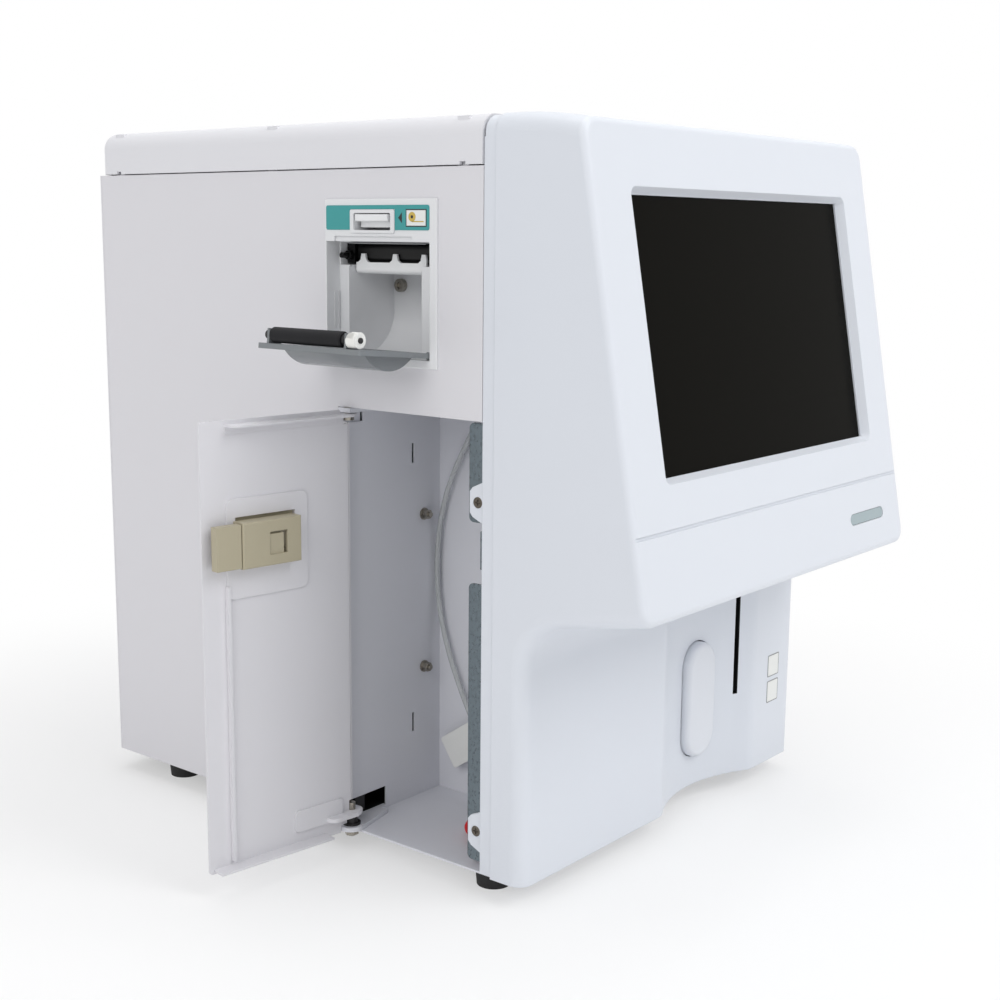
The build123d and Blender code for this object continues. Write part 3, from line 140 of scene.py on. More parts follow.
def math_node(tree, operation, a, b, clamp=False):
    """One Math node; a and b are sockets or numbers."""
    node = tree.nodes.new("ShaderNodeMath")
    node.operation = operation
    node.use_clamp = clamp
    for i, value in enumerate((a, b)):
        if isinstance(value, (int, float)):
            node.inputs[i].default_value = value
        else:
            tree.links.new(value, node.inputs[i])
    return node.outputs[0]


def background_rays(tree):
    """1 for a ray from the camera, off a shiny surface or through a clear one, otherwise 0."""
    path = tree.nodes.new("ShaderNodeLightPath").outputs
    seen = math_node(tree, "MAXIMUM", path["Is Camera Ray"], path["Is Glossy Ray"])
    return math_node(tree, "MAXIMUM", seen, path["Is Transmission Ray"])


print("node helpers ready")

# %% World
WHITE = (1, 1, 1, 1)
DOME_COLOUR = (0.97, 0.98, 1.0, 1)
DOME_STRENGTH = 0.52

world = bpy.data.worlds.new("studio")
scene.world = world
world.use_nodes = True
sky = world.node_tree
sky.nodes.clear()
dome = sky.nodes.new("ShaderNodeBackground")
dome.inputs["Color"].default_value = DOME_COLOUR
dome.inputs["Strength"].default_value = DOME_STRENGTH
white = sky.nodes.new("ShaderNodeBackground")
white.inputs["Color"].default_value = WHITE
white.inputs["Strength"].default_value = 1.0
mix = sky.nodes.new("ShaderNodeMixShader")
world_output = sky.nodes.new("ShaderNodeOutputWorld")
sky.links.new(background_rays(sky), mix.inputs[0])
sky.links.new(dome.outputs[0], mix.inputs[1])
sky.links.new(white.outputs[0], mix.inputs[2])
sky.links.new(mix.outputs[0], world_output.inputs["Surface"])
print("world nodes:", len(sky.nodes))

# %% Lamps


def soft_box(name, place, aim, wide, tall, power, colour):
    """A large rectangular lamp at a place, turned to face another."""
    data = bpy.data.lights.new(name, "AREA")
    data.shape = "RECTANGLE"
    data.size = wide
    data.size_y = tall
    data.energy = power
    data.color = colour
    lamp = bpy.data.objects.new(name, data)
    lamp.location = place
    lamp.rotation_mode = "QUATERNION"
    lamp.rotation_quaternion = (Vector(aim) - Vector(place)).to_track_quat("-Z", "Y")
    scene.collection.objects.link(lamp)
    print("lamp", name, power, "W")


middle = (cad_low + cad_high) / 2
# Each row: name, place from the middle of the analyser, wide, tall, watts, colour
SOFT_BOXES = [
    ("front box", (0.5, -1.9, 1.7), 1.6, 1.4, 25, (1.0, 1.0, 1.0)),
    ("left box", (-2.2, -0.4, 1.3), 1.4, 1.4, 15, (1.0, 0.985, 0.97)),
    ("top box", (0.1, 0.1, 2.2), 1.6, 1.6, 14, (1.0, 1.0, 1.0)),
]
for name, away, wide, tall, power, colour in SOFT_BOXES:
    soft_box(name, middle + Vector(away), middle, wide, tall, power, colour)
scene.view_settings.view_transform = "Standard"

# %% [markdown]
# ## Floor
# The floor is a large pale sheet. Near the object it shows as it is lit, so the soft shadow under
# the cabinet stays, and further out it turns into plain white. It isn't part of the analyser.

# %% Floor
FLOOR_HALF = 30
FLOOR_GREY = (0.93, 0.93, 0.93, 1)
FADE_START, FADE_END = 0.25, 0.65
WHITE_NEAR, WHITE_FAR = 0.45, 1.0

bm = bmesh.new()
bmesh.ops.create_grid(bm, x_segments=1, y_segments=1, size=FLOOR_HALF)
floor_mesh = bpy.data.meshes.new("floor")
bm.to_mesh(floor_mesh)
bm.free()
floor = bpy.data.objects.new("floor", floor_mesh)
scene.collection.objects.link(floor)
floor_paint = bpy.data.materials.new("floor paint")
floor_paint.use_nodes = True
ground = floor_paint.node_tree
lit = ground.nodes["Principled BSDF"]
lit.inputs["Base Color"].default_value = FLOOR_GREY
lit.inputs["Roughness"].default_value = 0.9
glow = ground.nodes.new("ShaderNodeEmission")
glow.inputs["Color"].default_value = WHITE
reach = ground.nodes.new("ShaderNodeVectorMath")
reach.operation = "DISTANCE"
reach.inputs[1].default_value = (middle.x, middle.y, 0)
ground.links.new(ground.nodes.new("ShaderNodeTexCoord").outputs["Object"], reach.inputs[0])
fade = ground.nodes.new("ShaderNodeMapRange")
fade.interpolation_type = "SMOOTHSTEP"
fade.inputs["From Min"].default_value = FADE_START
fade.inputs["From Max"].default_value = FADE_END
fade.inputs["To Min"].default_value = WHITE_NEAR
fade.inputs["To Max"].default_value = WHITE_FAR
ground.links.new(reach.outputs["Value"], fade.inputs["Value"])
share = math_node(ground, "MULTIPLY", background_rays(ground), fade.outputs["Result"])
blend = ground.nodes.new("ShaderNodeMixShader")
ground.links.new(share, blend.inputs[0])
ground.links.new(lit.outputs[0], blend.inputs[1])
ground.links.new(glow.outputs[0], blend.inputs[2])
ground.links.new(blend.outputs[0], ground.nodes["Material Output"].inputs["Surface"])
floor_mesh.materials.append(floor_paint)
print("floor half width:", FLOOR_HALF, "m, white from", FADE_END, "m")

# %% [markdown]
# ## Surface effects
# Effects that come back on several pieces are node groups, each made once. *Skin* is the fine
# grain and faint mottling of moulded plastic and powder paint. *Drawn metal* is a grain stretched
# along one axis. *Edge* finds the places where a piece turns a corner, by comparing the surface's
# own normal with a rounded one, and gives that rounded normal and a mask for edges whose colour is
# painted lighter, as a painted highlight, or darker. A fourth one, *inside box*, tells whether a
# point lies in a given box, for surfaces painted nearly black as painted shade.

# %% Group helpers
COLOUR = "NodeSocketColor"
NUMBER = "NodeSocketFloat"
VECTOR = "NodeSocketVector"


def new_group(name, inputs, outputs):
    """An empty shader node group with named sockets: (name, type, default)."""
    group = bpy.data.node_groups.new(name, "ShaderNodeTree")
    for label, kind, default in inputs:
        socket = group.interface.new_socket(label, in_out="INPUT", socket_type=kind)
        socket.default_value = default
    for label, kind in outputs:
        group.interface.new_socket(label, in_out="OUTPUT", socket_type=kind)
    start = group.nodes.new("NodeGroupInput")
    end = group.nodes.new("NodeGroupOutput")
    return group, start, end


def noise(tree, vector, scale, detail):
    """A noise texture on object coordinates; scale is a socket or a number."""
    node = tree.nodes.new("ShaderNodeTexNoise")
    node.inputs["Detail"].default_value = detail
    tree.links.new(vector, node.inputs["Vector"])
    if isinstance(scale, (int, float)):
        node.inputs["Scale"].default_value = scale
    else:
        tree.links.new(scale, node.inputs["Scale"])
    return node.outputs["Fac"]


def object_place(tree):
    """The socket with the place on the piece, in metres."""
    return tree.nodes.new("ShaderNodeTexCoord").outputs["Object"]


print("group helpers ready")

# %% Skin group
CLOUDS_PER_METRE = 14.0
SMUDGES_PER_METRE = 60.0
SMUDGE_SHARE = 0.16

skin, g_in, g_out = new_group(
    "skin",
    [("Colour", COLOUR, (0.8, 0.8, 0.8, 1)), ("Grain per metre", NUMBER, 2500.0),
     ("Mottle", NUMBER, 0.03), ("Roughness", NUMBER, 0.45)],
    [("Colour", COLOUR), ("Height", NUMBER), ("Roughness", NUMBER)],
)
place = object_place(skin)
fine = noise(skin, place, g_in.outputs["Grain per metre"], 1.0)
cloud = noise(skin, place, CLOUDS_PER_METRE, 3.0)
smudge = noise(skin, place, SMUDGES_PER_METRE, 4.0)
drift = math_node(skin, "SUBTRACT", cloud, 0.5)
level_shift = math_node(skin, "MULTIPLY", drift, g_in.outputs["Mottle"])
gain = math_node(skin, "ADD", level_shift, 1.0)
tint = skin.nodes.new("ShaderNodeVectorMath")
tint.operation = "SCALE"
skin.links.new(g_in.outputs["Colour"], tint.inputs[0])
skin.links.new(gain, tint.inputs["Scale"])
rub = math_node(skin, "MULTIPLY", math_node(skin, "SUBTRACT", smudge, 0.5), SMUDGE_SHARE)
skin.links.new(tint.outputs[0], g_out.inputs["Colour"])
skin.links.new(fine, g_out.inputs["Height"])
rough = math_node(skin, "ADD", rub, g_in.outputs["Roughness"], clamp=True)
skin.links.new(rough, g_out.inputs["Roughness"])
print("group", skin.name)

# %% Edge group
EDGE_RADIUS = 0.5 * MM

edge, g_in, g_out = new_group(
    "edge", [("Gain", NUMBER, 6.0)], [("Mask", NUMBER), ("Normal", VECTOR)])
rounded = edge.nodes.new("ShaderNodeBevel")
rounded.samples = 4
rounded.inputs["Radius"].default_value = EDGE_RADIUS
plain = edge.nodes.new("ShaderNodeNewGeometry").outputs["Normal"]
dot = edge.nodes.new("ShaderNodeVectorMath")
dot.operation = "DOT_PRODUCT"
edge.links.new(rounded.outputs[0], dot.inputs[0])
edge.links.new(plain, dot.inputs[1])
bend = math_node(edge, "SUBTRACT", 1.0, dot.outputs["Value"], clamp=True)
mask = math_node(edge, "MULTIPLY", bend, g_in.outputs["Gain"], clamp=True)
edge.links.new(mask, g_out.inputs["Mask"])
edge.links.new(rounded.outputs[0], g_out.inputs["Normal"])
print("group", edge.name)

# %% Metal grain group
drawn, g_in, g_out = new_group(
    "drawn metal",
    [("Colour", COLOUR, (0.6, 0.6, 0.62, 1)), ("Stretch", VECTOR, (1.0, 1.0, 0.02)),
     ("Grain per metre", NUMBER, 1800.0), ("Contrast", NUMBER, 0.25), ("Roughness", NUMBER, 0.35)],
    [("Colour", COLOUR), ("Height", NUMBER), ("Roughness", NUMBER)],
)
place = object_place(drawn)
squeeze = drawn.nodes.new("ShaderNodeVectorMath")
squeeze.operation = "MULTIPLY"
drawn.links.new(place, squeeze.inputs[0])
drawn.links.new(g_in.outputs["Stretch"], squeeze.inputs[1])
lines = noise(drawn, squeeze.outputs[0], g_in.outputs["Grain per metre"], 3.0)
uneven = math_node(drawn, "SUBTRACT", lines, 0.5)
shift = math_node(drawn, "MULTIPLY", uneven, g_in.outputs["Contrast"])
shade = drawn.nodes.new("ShaderNodeVectorMath")
shade.operation = "SCALE"
drawn.links.new(g_in.outputs["Colour"], shade.inputs[0])
drawn.links.new(math_node(drawn, "ADD", shift, 1.0), shade.inputs["Scale"])
drawn.links.new(shade.outputs[0], g_out.inputs["Colour"])
drawn.links.new(lines, g_out.inputs["Height"])
rough = math_node(drawn, "ADD", shift, g_in.outputs["Roughness"], clamp=True)
drawn.links.new(rough, g_out.inputs["Roughness"])
print("group", drawn.name)

# %% Box group
within, g_in, g_out = new_group(
    "inside box", [("Low", VECTOR, (0, 0, 0)), ("High", VECTOR, (1, 1, 1))], [("Mask", NUMBER)])
place = object_place(within)
least = None
for first, second in ((place, g_in.outputs["Low"]), (g_in.outputs["High"], place)):
    gap = within.nodes.new("ShaderNodeVectorMath")
    gap.operation = "SUBTRACT"
    within.links.new(first, gap.inputs[0])
    within.links.new(second, gap.inputs[1])
    split = within.nodes.new("ShaderNodeSeparateXYZ")
    within.links.new(gap.outputs[0], split.inputs[0])
    for side in split.outputs:
        least = side if least is None else math_node(within, "MINIMUM", least, side)
within.links.new(math_node(within, "GREATER_THAN", least, 0.0), g_out.inputs["Mask"])
print("group", within.name)

# %% [markdown]
# ## Finishes
# A finish is a material made from one of the groups and a Principled shader. What is the same all
# over a piece, such as how clear or how metallic it is, is set on the shader itself. What changes
# over the surface comes from the group. Each colour is written as it looks in a picture under even
# light, from 0 to 255, and one helper makes it the linear value that the shader wants.

# %% Material makers


def start_material(name):
    """A new material, with its node tree and its Principled shader."""
    made = bpy.data.materials.new(name)
    made.use_nodes = True
    return made, made.node_tree, made.node_tree.nodes["Principled BSDF"]


def use_group(tree, group, **values):
    """One of the groups placed in a material; an underscore in a value's name is a space."""
    node = tree.nodes.new("ShaderNodeGroup")
    node.node_tree = group
    for label, value in values.items():
        node.inputs[label.replace("_", " ")].default_value = value
    return node


def rgb(r, g, b):
    """A colour as it looks in a picture, 0 to 255, made linear."""
    parts = []
    for v in (r, g, b):
        v = v / 255
        parts.append(v / 12.92 if v <= 0.04045 else ((v + 0.055) / 1.055) ** 2.4)
    return (*parts, 1.0)


def cover(name, group, colour, roughness, grain, strength, depth, sockets, **values):
    """What plastic and metal share: a group's roughness, its fine bump and rounded edges."""
    made, tree, shader = start_material(name)
    surface = use_group(tree, group, Colour=colour, Roughness=roughness, **values)
    surface.inputs["Grain per metre"].default_value = grain
    corner = use_group(tree, edge)
    bump = tree.nodes.new("ShaderNodeBump")
    bump.inputs["Strength"].default_value = strength
    bump.inputs["Distance"].default_value = depth * MM
    tree.links.new(surface.outputs["Height"], bump.inputs["Height"])
    tree.links.new(corner.outputs["Normal"], bump.inputs["Normal"])
    tree.links.new(bump.outputs[0], shader.inputs["Normal"])
    tree.links.new(surface.outputs["Roughness"], shader.inputs["Roughness"])
    for label, value in sockets.items():
        shader.inputs[label.replace("_", " ")].default_value = value
    return made, tree, shader, surface, corner


def painted_over(tree, under, mask, colour):
    """A colour laid over another one where a mask is 1."""
    layer = tree.nodes.new("ShaderNodeMix")
    layer.data_type = "RGBA"
    layer.inputs["B"].default_value = colour
    tree.links.new(mask, layer.inputs["Factor"])
    tree.links.new(under, layer.inputs["A"])
    return layer.outputs["Result"]


# The colour of painted shade, for surfaces that lie in shade inside the cabinet.
PAINTED_SHADE_BLACK = (0.004, 0.004, 0.004, 1)
# The cap on the lighter colour that edges paints along the corners as a painted highlight.
LIGHTEST_EDGE_HIGHLIGHT = 0.96


def plastic(name, colour, roughness, grain, depth, mottle, edges=0.0, dark=None, **sockets):
    """Moulded plastic, powder paint, rubber or card, from the skin group.

    grain is in grains per metre and depth in millimetres. edges paints the colour along the
    corners: darker where it is above zero, lighter as a painted highlight where it is below zero.
    The box argument after edges gives the low and the high corner of a box in which the surface is
    painted nearly black, as painted shade.
    """
    made, tree, shader, surface, corner = cover(
        name, skin, colour, roughness, grain, 0.35, depth, sockets, Mottle=mottle)
    shade = surface.outputs["Colour"]
    # Painted highlight where edges is below zero: the corners get a lighter colour. Above zero they get
    # a darker one.
    if edges:
        edge_highlight_or_darkening = tuple(min(LIGHTEST_EDGE_HIGHLIGHT, c * (1 - edges)) for c in colour[:3]) + (1,)
        shade = painted_over(tree, shade, corner.outputs["Mask"], edge_highlight_or_darkening)
    # Painted shade: inside the box the colour is painted nearly black, standing in for the shade of a
    # closed space that the model lets light into.
    if dark:
        box = use_group(tree, within, Low=dark[0], High=dark[1])
        shade = painted_over(tree, shade, box.outputs["Mask"], PAINTED_SHADE_BLACK)
    tree.links.new(shade, shader.inputs["Base Color"])
    return made


METAL_GRAIN_DEPTH = 0.01


def metal(name, colour, roughness, stretch, grain, contrast, **sockets):
    """Bare metal, from the drawn metal group: stretch is small along the grain."""
    made, tree, shader, surface, _ = cover(
        name, drawn, colour, roughness, grain, 0.3, METAL_GRAIN_DEPTH, sockets,
        Stretch=stretch, Contrast=contrast)
    tree.links.new(surface.outputs["Colour"], shader.inputs["Base Color"])
    shader.inputs["Metallic"].default_value = 1.0
    return made


print("makers ready")

# %% [markdown]
# ## Paint and plastic of the cabinet
# The panels and the lid are folded sheet under a warm grey-white powder coat, which has a slight
# orange peel. The front is moulded in a cooler white with a finer grain. Both are dull enough to
# show only a wide, soft sheen.

# %% Cabinet finishes
# Painted shade: the walls of the probe slot and the inside of the cabinet behind the liner are painted
# nearly black, because light reaches these hidden spaces in the model.
PROBE_SLOT_SHADE_BOX = (at(232.3, -30.3, 54.4), at(235.7, -20, 150))
BEHIND_LINER_SHADE_BOX = (at(0, 108, -1), at(300, 400, 60))

paint = {}
# Each row: slot, material, colour, roughness, grains per metre, grain depth, mottle, what is special
# In the last column, edges below zero paints a highlight along the corners, and a box paints the surface
# in it nearly black as painted shade.
CABINET_PAINTS = [
    ("side_panel_paint", "side panel paint", (222, 221, 225), 0.42, 900.0, 0.05, 0.02, {"edges": -0.18}),
    ("lid_paint", "lid paint", (226, 226, 230), 0.40, 900.0, 0.05, 0.02, {"edges": -0.12}),
    ("liner_paint", "liner paint", (224, 225, 231), 0.45, 900.0, 0.05, 0.02,
     {"edges": -0.15, "dark": BEHIND_LINER_SHADE_BOX}),
    ("front_plastic", "front plastic", (221, 225, 232), 0.38, 3200.0, 0.015, 0.015,
     {"dark": PROBE_SLOT_SHADE_BOX}),
    ("key_white", "key plastic", (224, 227, 233), 0.36, 3200.0, 0.015, 0.015, {}),
    ("foot_rubber", "foot rubber", (26, 26, 27), 0.75, 1500.0, 0.05, 0.10, {}),
]


def fill_paint(rows):
    """Makes the plastic or paint of each row and keeps it under its slot."""
    for slot, name, colour, roughness, grain, depth, mottle, special in rows:
        paint[slot] = plastic(name, rgb(*colour), roughness, grain, depth, mottle, **special)


fill_paint(CABINET_PAINTS)
print("cabinet finishes:", len(paint))

# %% [markdown]
# ## Bare metals
# The strip beside the compartment is galvanised sheet, which shows dull grey patches of zinc with
# a fine speckle. Screws and pins are bright plated steel.

# %% Metal finishes
# Each row: slot, material, colour, roughness, stretch, grains per metre, contrast
METALS = [
    ("galvanised_steel", "galvanised sheet", (112, 122, 128), 0.44, (1, 1, 0.7), 620.0, 1.5),
    ("screw_steel", "plated steel", (158, 153, 144), 0.30, (1, 1, 1), 900.0, 0.2),
    ("screw_black", "blackened steel", (104, 98, 90), 0.34, (1, 1, 1), 900.0, 0.15),
    ("probe_steel", "drawn tube", (200, 200, 202), 0.22, (1, 1, 0.02), 2400.0, 0.12),
    ("tear_steel", "blade steel", (176, 178, 180), 0.30, (1, 0.03, 1), 2400.0, 0.20),
    ("guide_aluminium", "anodised rail", (196, 197, 200), 0.38, (1, 0.03, 1), 1800.0, 0.10),
    ("port_metal", "tinned shell", (180, 182, 186), 0.35, (1, 1, 1), 1200.0, 0.12),
    ("display_metal", "folded bracket", (170, 172, 176), 0.42, (0.05, 1, 1), 900.0, 0.20),
    ("pump_metal", "machined block", (182, 184, 186), 0.36, (1, 1, 0.05), 900.0, 0.12),
]
for slot, name, colour, *look in METALS:
    paint[slot] = metal(name, rgb(*colour), *look)
print("finishes so far:", len(paint))

# %% [markdown]
# ## Plastics of the small pieces
# The latch is a beige engineering plastic, slightly rough. The printer's flap is a smoky grey clear
# plastic, its roller black rubber and its gear white. The plate above the printer is teal.

# %% Small finishes
DULL = {"Specular_IOR_Level": 0.22}
# Each row: slot, material, colour, roughness, grains per metre, grain depth, mottle, what is special
# In the last column, edges below zero paints a highlight along the corners. Above zero it makes them
# darker.
SMALL_PLASTICS = [
    ("roller_shaft_steel", "roller ends", (30, 30, 31), 0.45, 2500.0, 0.02, 0.05, {}),
    ("latch_plastic", "latch plastic", (176, 168, 144), 0.48, 1600.0, 0.04, 0.06, {"edges": -0.12}),
    ("printer_plastic", "printer plastic", (230, 231, 233), 0.42, 2600.0, 0.02, 0.02,
     {"edges": -0.05}),
    ("label_teal", "teal plate", (58, 154, 154), 0.42, 3000.0, 0.01, 0.02, {}),
    ("lever_white", "lever plastic", (238, 239, 240), 0.35, 3000.0, 0.015, 0.02, {"edges": 0.08}),
    ("printer_black", "black mechanism", (13, 13, 14), 0.34, 2200.0, 0.03, 0.10, DULL),
    ("printer_door_plastic", "smoky flap", (142, 147, 150), 0.22, 3000.0, 0.01, 0.03,
     {"edges": 0.10, "Transmission_Weight": 0.25}),
    ("roller_bracket_plastic", "bracket plastic", (120, 124, 127), 0.40, 2600.0, 0.02, 0.04, {}),
    ("roller_rubber", "roller rubber", (24, 24, 27), 0.62, 1500.0, 0.06, 0.20, DULL),
    ("gear_white", "gear plastic", (238, 238, 234), 0.40, 2600.0, 0.02, 0.02, {}),
    ("switch_black", "switch plastic", (28, 28, 29), 0.45, 2200.0, 0.02, 0.06, {}),
    ("socket_black", "socket plastic", (24, 24, 25), 0.40, 2200.0, 0.02, 0.06, {}),
    ("fan_black", "fan plastic", (22, 22, 23), 0.50, 2200.0, 0.02, 0.06, {}),
    ("fitting_black", "gland plastic", (26, 26, 27), 0.45, 2200.0, 0.02, 0.06, {}),
    ("carriage_plastic", "carriage plastic", (34, 34, 36), 0.45, 2200.0, 0.02, 0.05, {}),
    ("valve_plastic", "coil plastic", (34, 34, 36), 0.45, 2200.0, 0.02, 0.05, {}),
    ("board_green", "solder mask", (28, 92, 58), 0.30, 2200.0, 0.02, 0.10, {}),
    ("port_plastic", "fitting plastic", (214, 216, 214), 0.32, 2600.0, 0.02, 0.03, {}),
    ("chamber_acrylic", "chamber block", (214, 220, 222), 0.15, 2600.0, 0.01, 0.02, {}),
    ("cap_red", "cap plastic", (208, 26, 30), 0.32, 2600.0, 0.02, 0.05, {}),
    ("tag_plastic", "tag card", (236, 237, 234), 0.50, 1400.0, 0.02, 0.03, {}),
    ("light_lens", "light lens", (166, 183, 188), 0.18, 2600.0, 0.005, 0.04,
     {"Transmission_Weight": 0.15, "Coat_Weight": 0.3}),
]
fill_paint(SMALL_PLASTICS)
print("finishes so far:", len(paint))

# %% [markdown]
# ## Glass of the screen
# The screen is off, so it is one sheet of glass, black behind. It needs almost no bump: a faint
# waviness and a few soft finger marks in the roughness are enough to make the reflection real.

# %% Screen glass
glass, tree, shader = start_material("screen glass")
surface = use_group(tree, skin, Colour=rgb(17, 16, 13), Mottle=0.04, Roughness=0.16)
surface.inputs["Grain per metre"].default_value = 40.0
tree.links.new(surface.outputs["Colour"], shader.inputs["Base Color"])
tree.links.new(surface.outputs["Roughness"], shader.inputs["Roughness"])
shader.inputs["IOR"].default_value = 1.12
shader.inputs["Specular IOR Level"].default_value = 0.2
paint["screen_glass"] = glass
print("finishes so far:", len(paint))

# %% [markdown]
# ## Put the finishes on the solids
# The record that comes with the frame says which finish slot each solid uses, so the solids get
# their materials from one loop and none can be forgotten.

# %% Assign finishes
missing = set()
for part in frame["record"]["subparts"]:
    solid = nodes[part["node"]]
    finish = paint.get(part["material_slot"])
    if finish is None:
        missing.add(part["material_slot"])
        continue
    solid.data.materials.clear()
    solid.data.materials.append(finish)
print("slots with no finish:", sorted(missing))

# %% [markdown]
# ## Piece maker
# Every added piece is a bmesh turned into an object at the origin, with its place in its mesh, that
# rides on one of the cabinet's bodies. A short helper keeps that the same for all of them.

# %% Piece helper


def piece(name, bm, finish, body):
    """Makes an object from a bmesh, gives it a finish and lets it ride on a body."""
    mesh = bpy.data.meshes.new(name)
    bm.to_mesh(mesh)
    bm.free()
    mesh.materials.append(finish)
    made = bpy.data.objects.new(name, mesh)
    scene.collection.objects.link(made)
    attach(made, body)
    print(name, len(mesh.polygons), "faces")


print("piece helper ready")

# %% [markdown]
# ## Hose
# A soft clear tube comes down from the compartment's ceiling, bends along the back wall and ends
# in a red cap near the floor. The route is a handful of points; a NURBS curve draws one smooth line
# near them, and the tube's thickness is the curve's bevel. Clear tube looks milky where its wall is
# seen edge on, so the finish lets part of the light through.

# %% Hose finish
hose_finish = plastic(
    "hose plastic", rgb(226, 229, 230), 0.18, 2600.0, 0.005, 0.02, Transmission_Weight=0.5, IOR=1.4)
print("finish:", hose_finish.name)

# %% Hose
HOSE_RADIUS = 1.6 * MM
route = [
    at(82.3, 63.3, 255.3),
    at(82.3, 91.3, 212.7),
    at(82.3, 104.5, 169.6),
    at(82.3, 104.5, 124.4),
    at(82.3, 91.3, 81.3),
    at(82.3, 60.5, 28.0),
    at(62.0, 46.0, 9.6),
    at(40.0, 36.0, 7.8),
]
hose_curve = bpy.data.curves.new("hose", "CURVE")
hose_curve.dimensions = "3D"
hose_curve.resolution_u = 12
hose_curve.bevel_depth = HOSE_RADIUS
hose_curve.bevel_resolution = 5
hose_curve.use_fill_caps = True
line = hose_curve.splines.new("NURBS")
line.points.add(len(route) - 1)
for point, spot in zip(line.points, route):
    point.co = (*spot, 1)
line.order_u = 3
line.use_endpoint_u = True
hose_curve.materials.append(hose_finish)
hose = bpy.data.objects.new("reagent_hose_tube", hose_curve)
scene.collection.objects.link(hose)
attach(hose, "cabinet")
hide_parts("reagent_hose")
print("hose points:", len(route))

# %% [markdown]
# ## Printing on the printer's plate
# The teal plate over the printer carries a small pointer towards a bordered sign of a paper roll.
# Printing is ink on the plate, so each shape is a flat face raised by a twentieth of a millimetre,
# and what lies on top of other ink starts one layer further out.

# %% Ink finishes
ink_black = plastic("black ink", rgb(30, 32, 33), 0.45, 3000.0, 0.005, 0.04)
ink_white = plastic("white ink", rgb(236, 238, 236), 0.45, 3000.0, 0.005, 0.03)
ink_ochre = plastic("ochre ink", rgb(206, 178, 84), 0.45, 3000.0, 0.005, 0.03)
print("ink finishes: 3")

# %% Ink helpers
INK = 0.05 * MM
INK_GAP = 0.004 * MM
DISC_SIDES = 28
plate_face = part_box("printer_label")[0].x


def ink_place(y, z, layer):
    """Where a (y, z) place of the drawing lies on a layer of ink on the plate."""
    spot = at(0, y, z)
    return Vector((plate_face - INK_GAP - layer * INK, spot.y, spot.z))


def raise_ink(name, bm, finish):
    """Raises the flat face in a bmesh by the thickness of ink and makes it a piece."""
    raised = bmesh.ops.extrude_face_region(bm, geom=bm.faces[:])
    moved = [v for v in raised["geom"] if isinstance(v, bmesh.types.BMVert)]
    bmesh.ops.translate(bm, verts=moved, vec=(-INK, 0, 0))
    bmesh.ops.recalc_face_normals(bm, faces=bm.faces[:])
    piece(name, bm, finish, "cabinet")


def printed(name, outline, finish, layer=0):
    """A printed shape: outline is a list of a few (y, z) places in the drawing."""
    bm = bmesh.new()
    bm.faces.new([bm.verts.new(ink_place(y, z, layer)) for y, z in outline])
    raise_ink(name, bm, finish)


def printed_disc(name, y, z, radius, finish, layer):
    """A printed round spot."""
    bm = bmesh.new()
    facing = Matrix.Translation(ink_place(y, z, layer)) @ Matrix.Rotation(math.radians(90), 4, "Y")
    bmesh.ops.create_circle(
        bm, cap_ends=True, segments=DISC_SIDES, radius=radius * MM, matrix=facing)
    raise_ink(name, bm, finish)


def rectangle(y0, z0, y1, z1):
    """The corners of an upright rectangle."""
    return [(y0, z0), (y1, z0), (y1, z1), (y0, z1)]


print("ink:", round(INK / MM, 3), "mm thick")

# %% Printed shapes
POINTER = [(58.8, 360.7), (56.0, 363.6), (56.0, 357.8)]
SIGN_Y0, SIGN_Y1 = 38.2, 53.2
SIGN_Z0, SIGN_Z1 = 355.9, 365.3
BORDER = 0.6
ROLL_Y, ROLL_Z = 48.6, 361.2
ROLL_RADIUS, CORE_RADIUS = 2.6, 0.9
PAPER_END, PAPER_Z0, PAPER_Z1 = 40.2, 358.4, 359.0

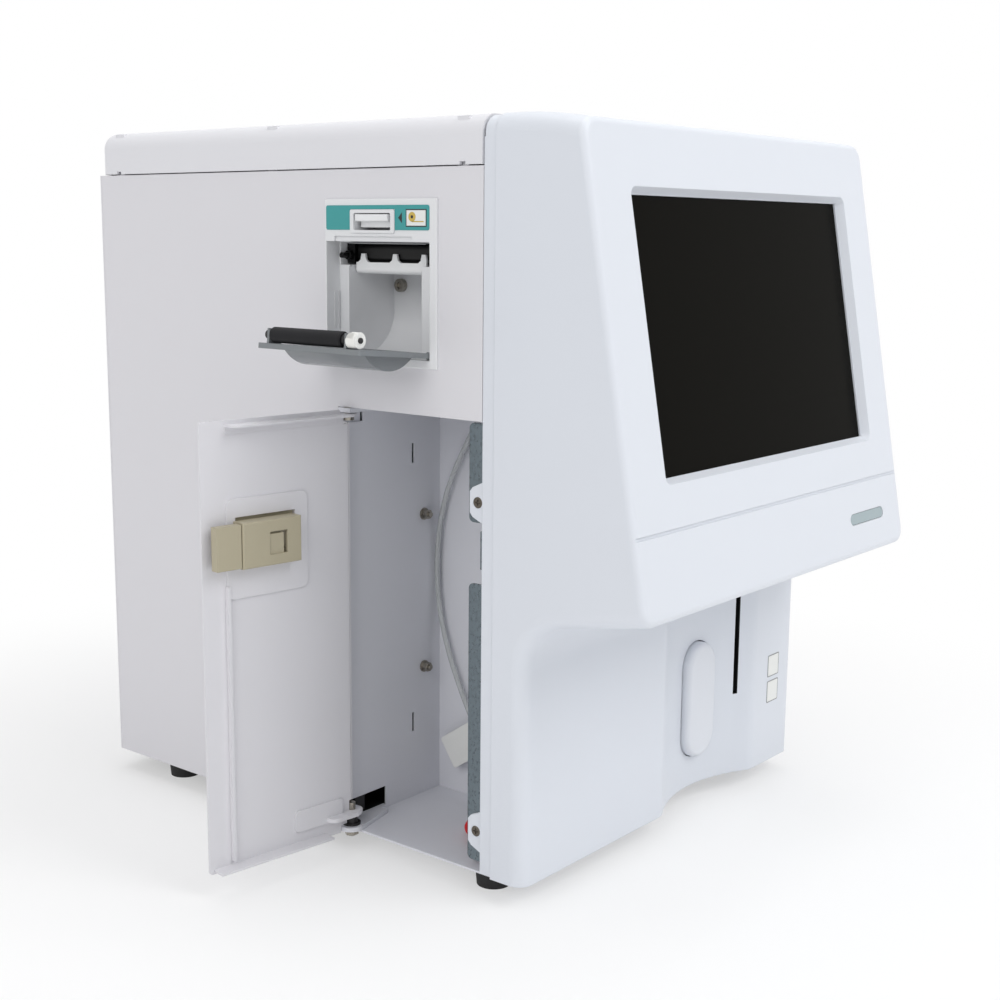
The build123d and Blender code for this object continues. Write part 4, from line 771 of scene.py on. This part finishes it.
printed("plate_pointer", POINTER, ink_black)
printed("sign_border", rectangle(SIGN_Y0, SIGN_Z0, SIGN_Y1, SIGN_Z1), ink_black)
ground_shape = rectangle(SIGN_Y0 + BORDER, SIGN_Z0 + BORDER, SIGN_Y1 - BORDER, SIGN_Z1 - BORDER)
printed("sign_ground", ground_shape, ink_white, 1)
printed_disc("sign_roll", ROLL_Y, ROLL_Z, ROLL_RADIUS, ink_ochre, 2)
printed_disc("sign_core", ROLL_Y, ROLL_Z, CORE_RADIUS, ink_black, 3)
printed("sign_paper", rectangle(PAPER_END, PAPER_Z0, ROLL_Y, PAPER_Z1), ink_ochre, 2)

# %% [markdown]
# ## Bare plates beside the probe
# Two small blank plates are stuck on the front, right of the slot for the probe. Each is a thin
# grey card with rounded corners, and a lighter card on it leaves a narrow grey border.

# %% Card helper


def card(name, low, high, radius, finish):
    """A thin card on the front with rounded corners, between two places in the frame."""
    bm = bmesh.new()
    bmesh.ops.create_cube(bm, size=1)
    bmesh.ops.scale(bm, vec=high - low, verts=bm.verts)
    bmesh.ops.translate(bm, vec=(high + low) / 2, verts=bm.verts)
    through = [e for e in bm.edges if abs(e.verts[0].co.y - e.verts[1].co.y) > (high.y - low.y) / 2]
    bmesh.ops.bevel(bm, geom=through, offset=radius * MM, segments=5, profile=0.5,
                    affect="EDGES", material=-1)
    piece(name, bm, finish, "cabinet")


print("card helper ready")

# %% Blank plates
FRONT_Y = -30.6
PLATE_X0, PLATE_X1 = 265.6, 280.4
PLATE_HEIGHTS = [(59.4, 74.6), (41.4, 56.6)]
PLATE_Y0, PLATE_Y1 = FRONT_Y - 0.12, FRONT_Y - 0.01
FIELD_Y0, FIELD_Y1 = PLATE_Y0 - 0.05, PLATE_Y0 + 0.02
PLATE_BORDER = 0.7
PLATE_CORNER, FIELD_CORNER = 1.0, 0.6

ink_grey = plastic("grey ink", rgb(150, 152, 154), 0.45, 3000.0, 0.005, 0.03)
for number, (z0, z1) in enumerate(PLATE_HEIGHTS):
    card(f"blank_plate_{number}", at(PLATE_X0, PLATE_Y0, z0), at(PLATE_X1, PLATE_Y1, z1),
         PLATE_CORNER, ink_grey)
    card(f"blank_plate_field_{number}",
         at(PLATE_X0 + PLATE_BORDER, FIELD_Y0, z0 + PLATE_BORDER),
         at(PLATE_X1 - PLATE_BORDER, FIELD_Y1, z1 - PLATE_BORDER),
         FIELD_CORNER, paint["tag_plastic"])
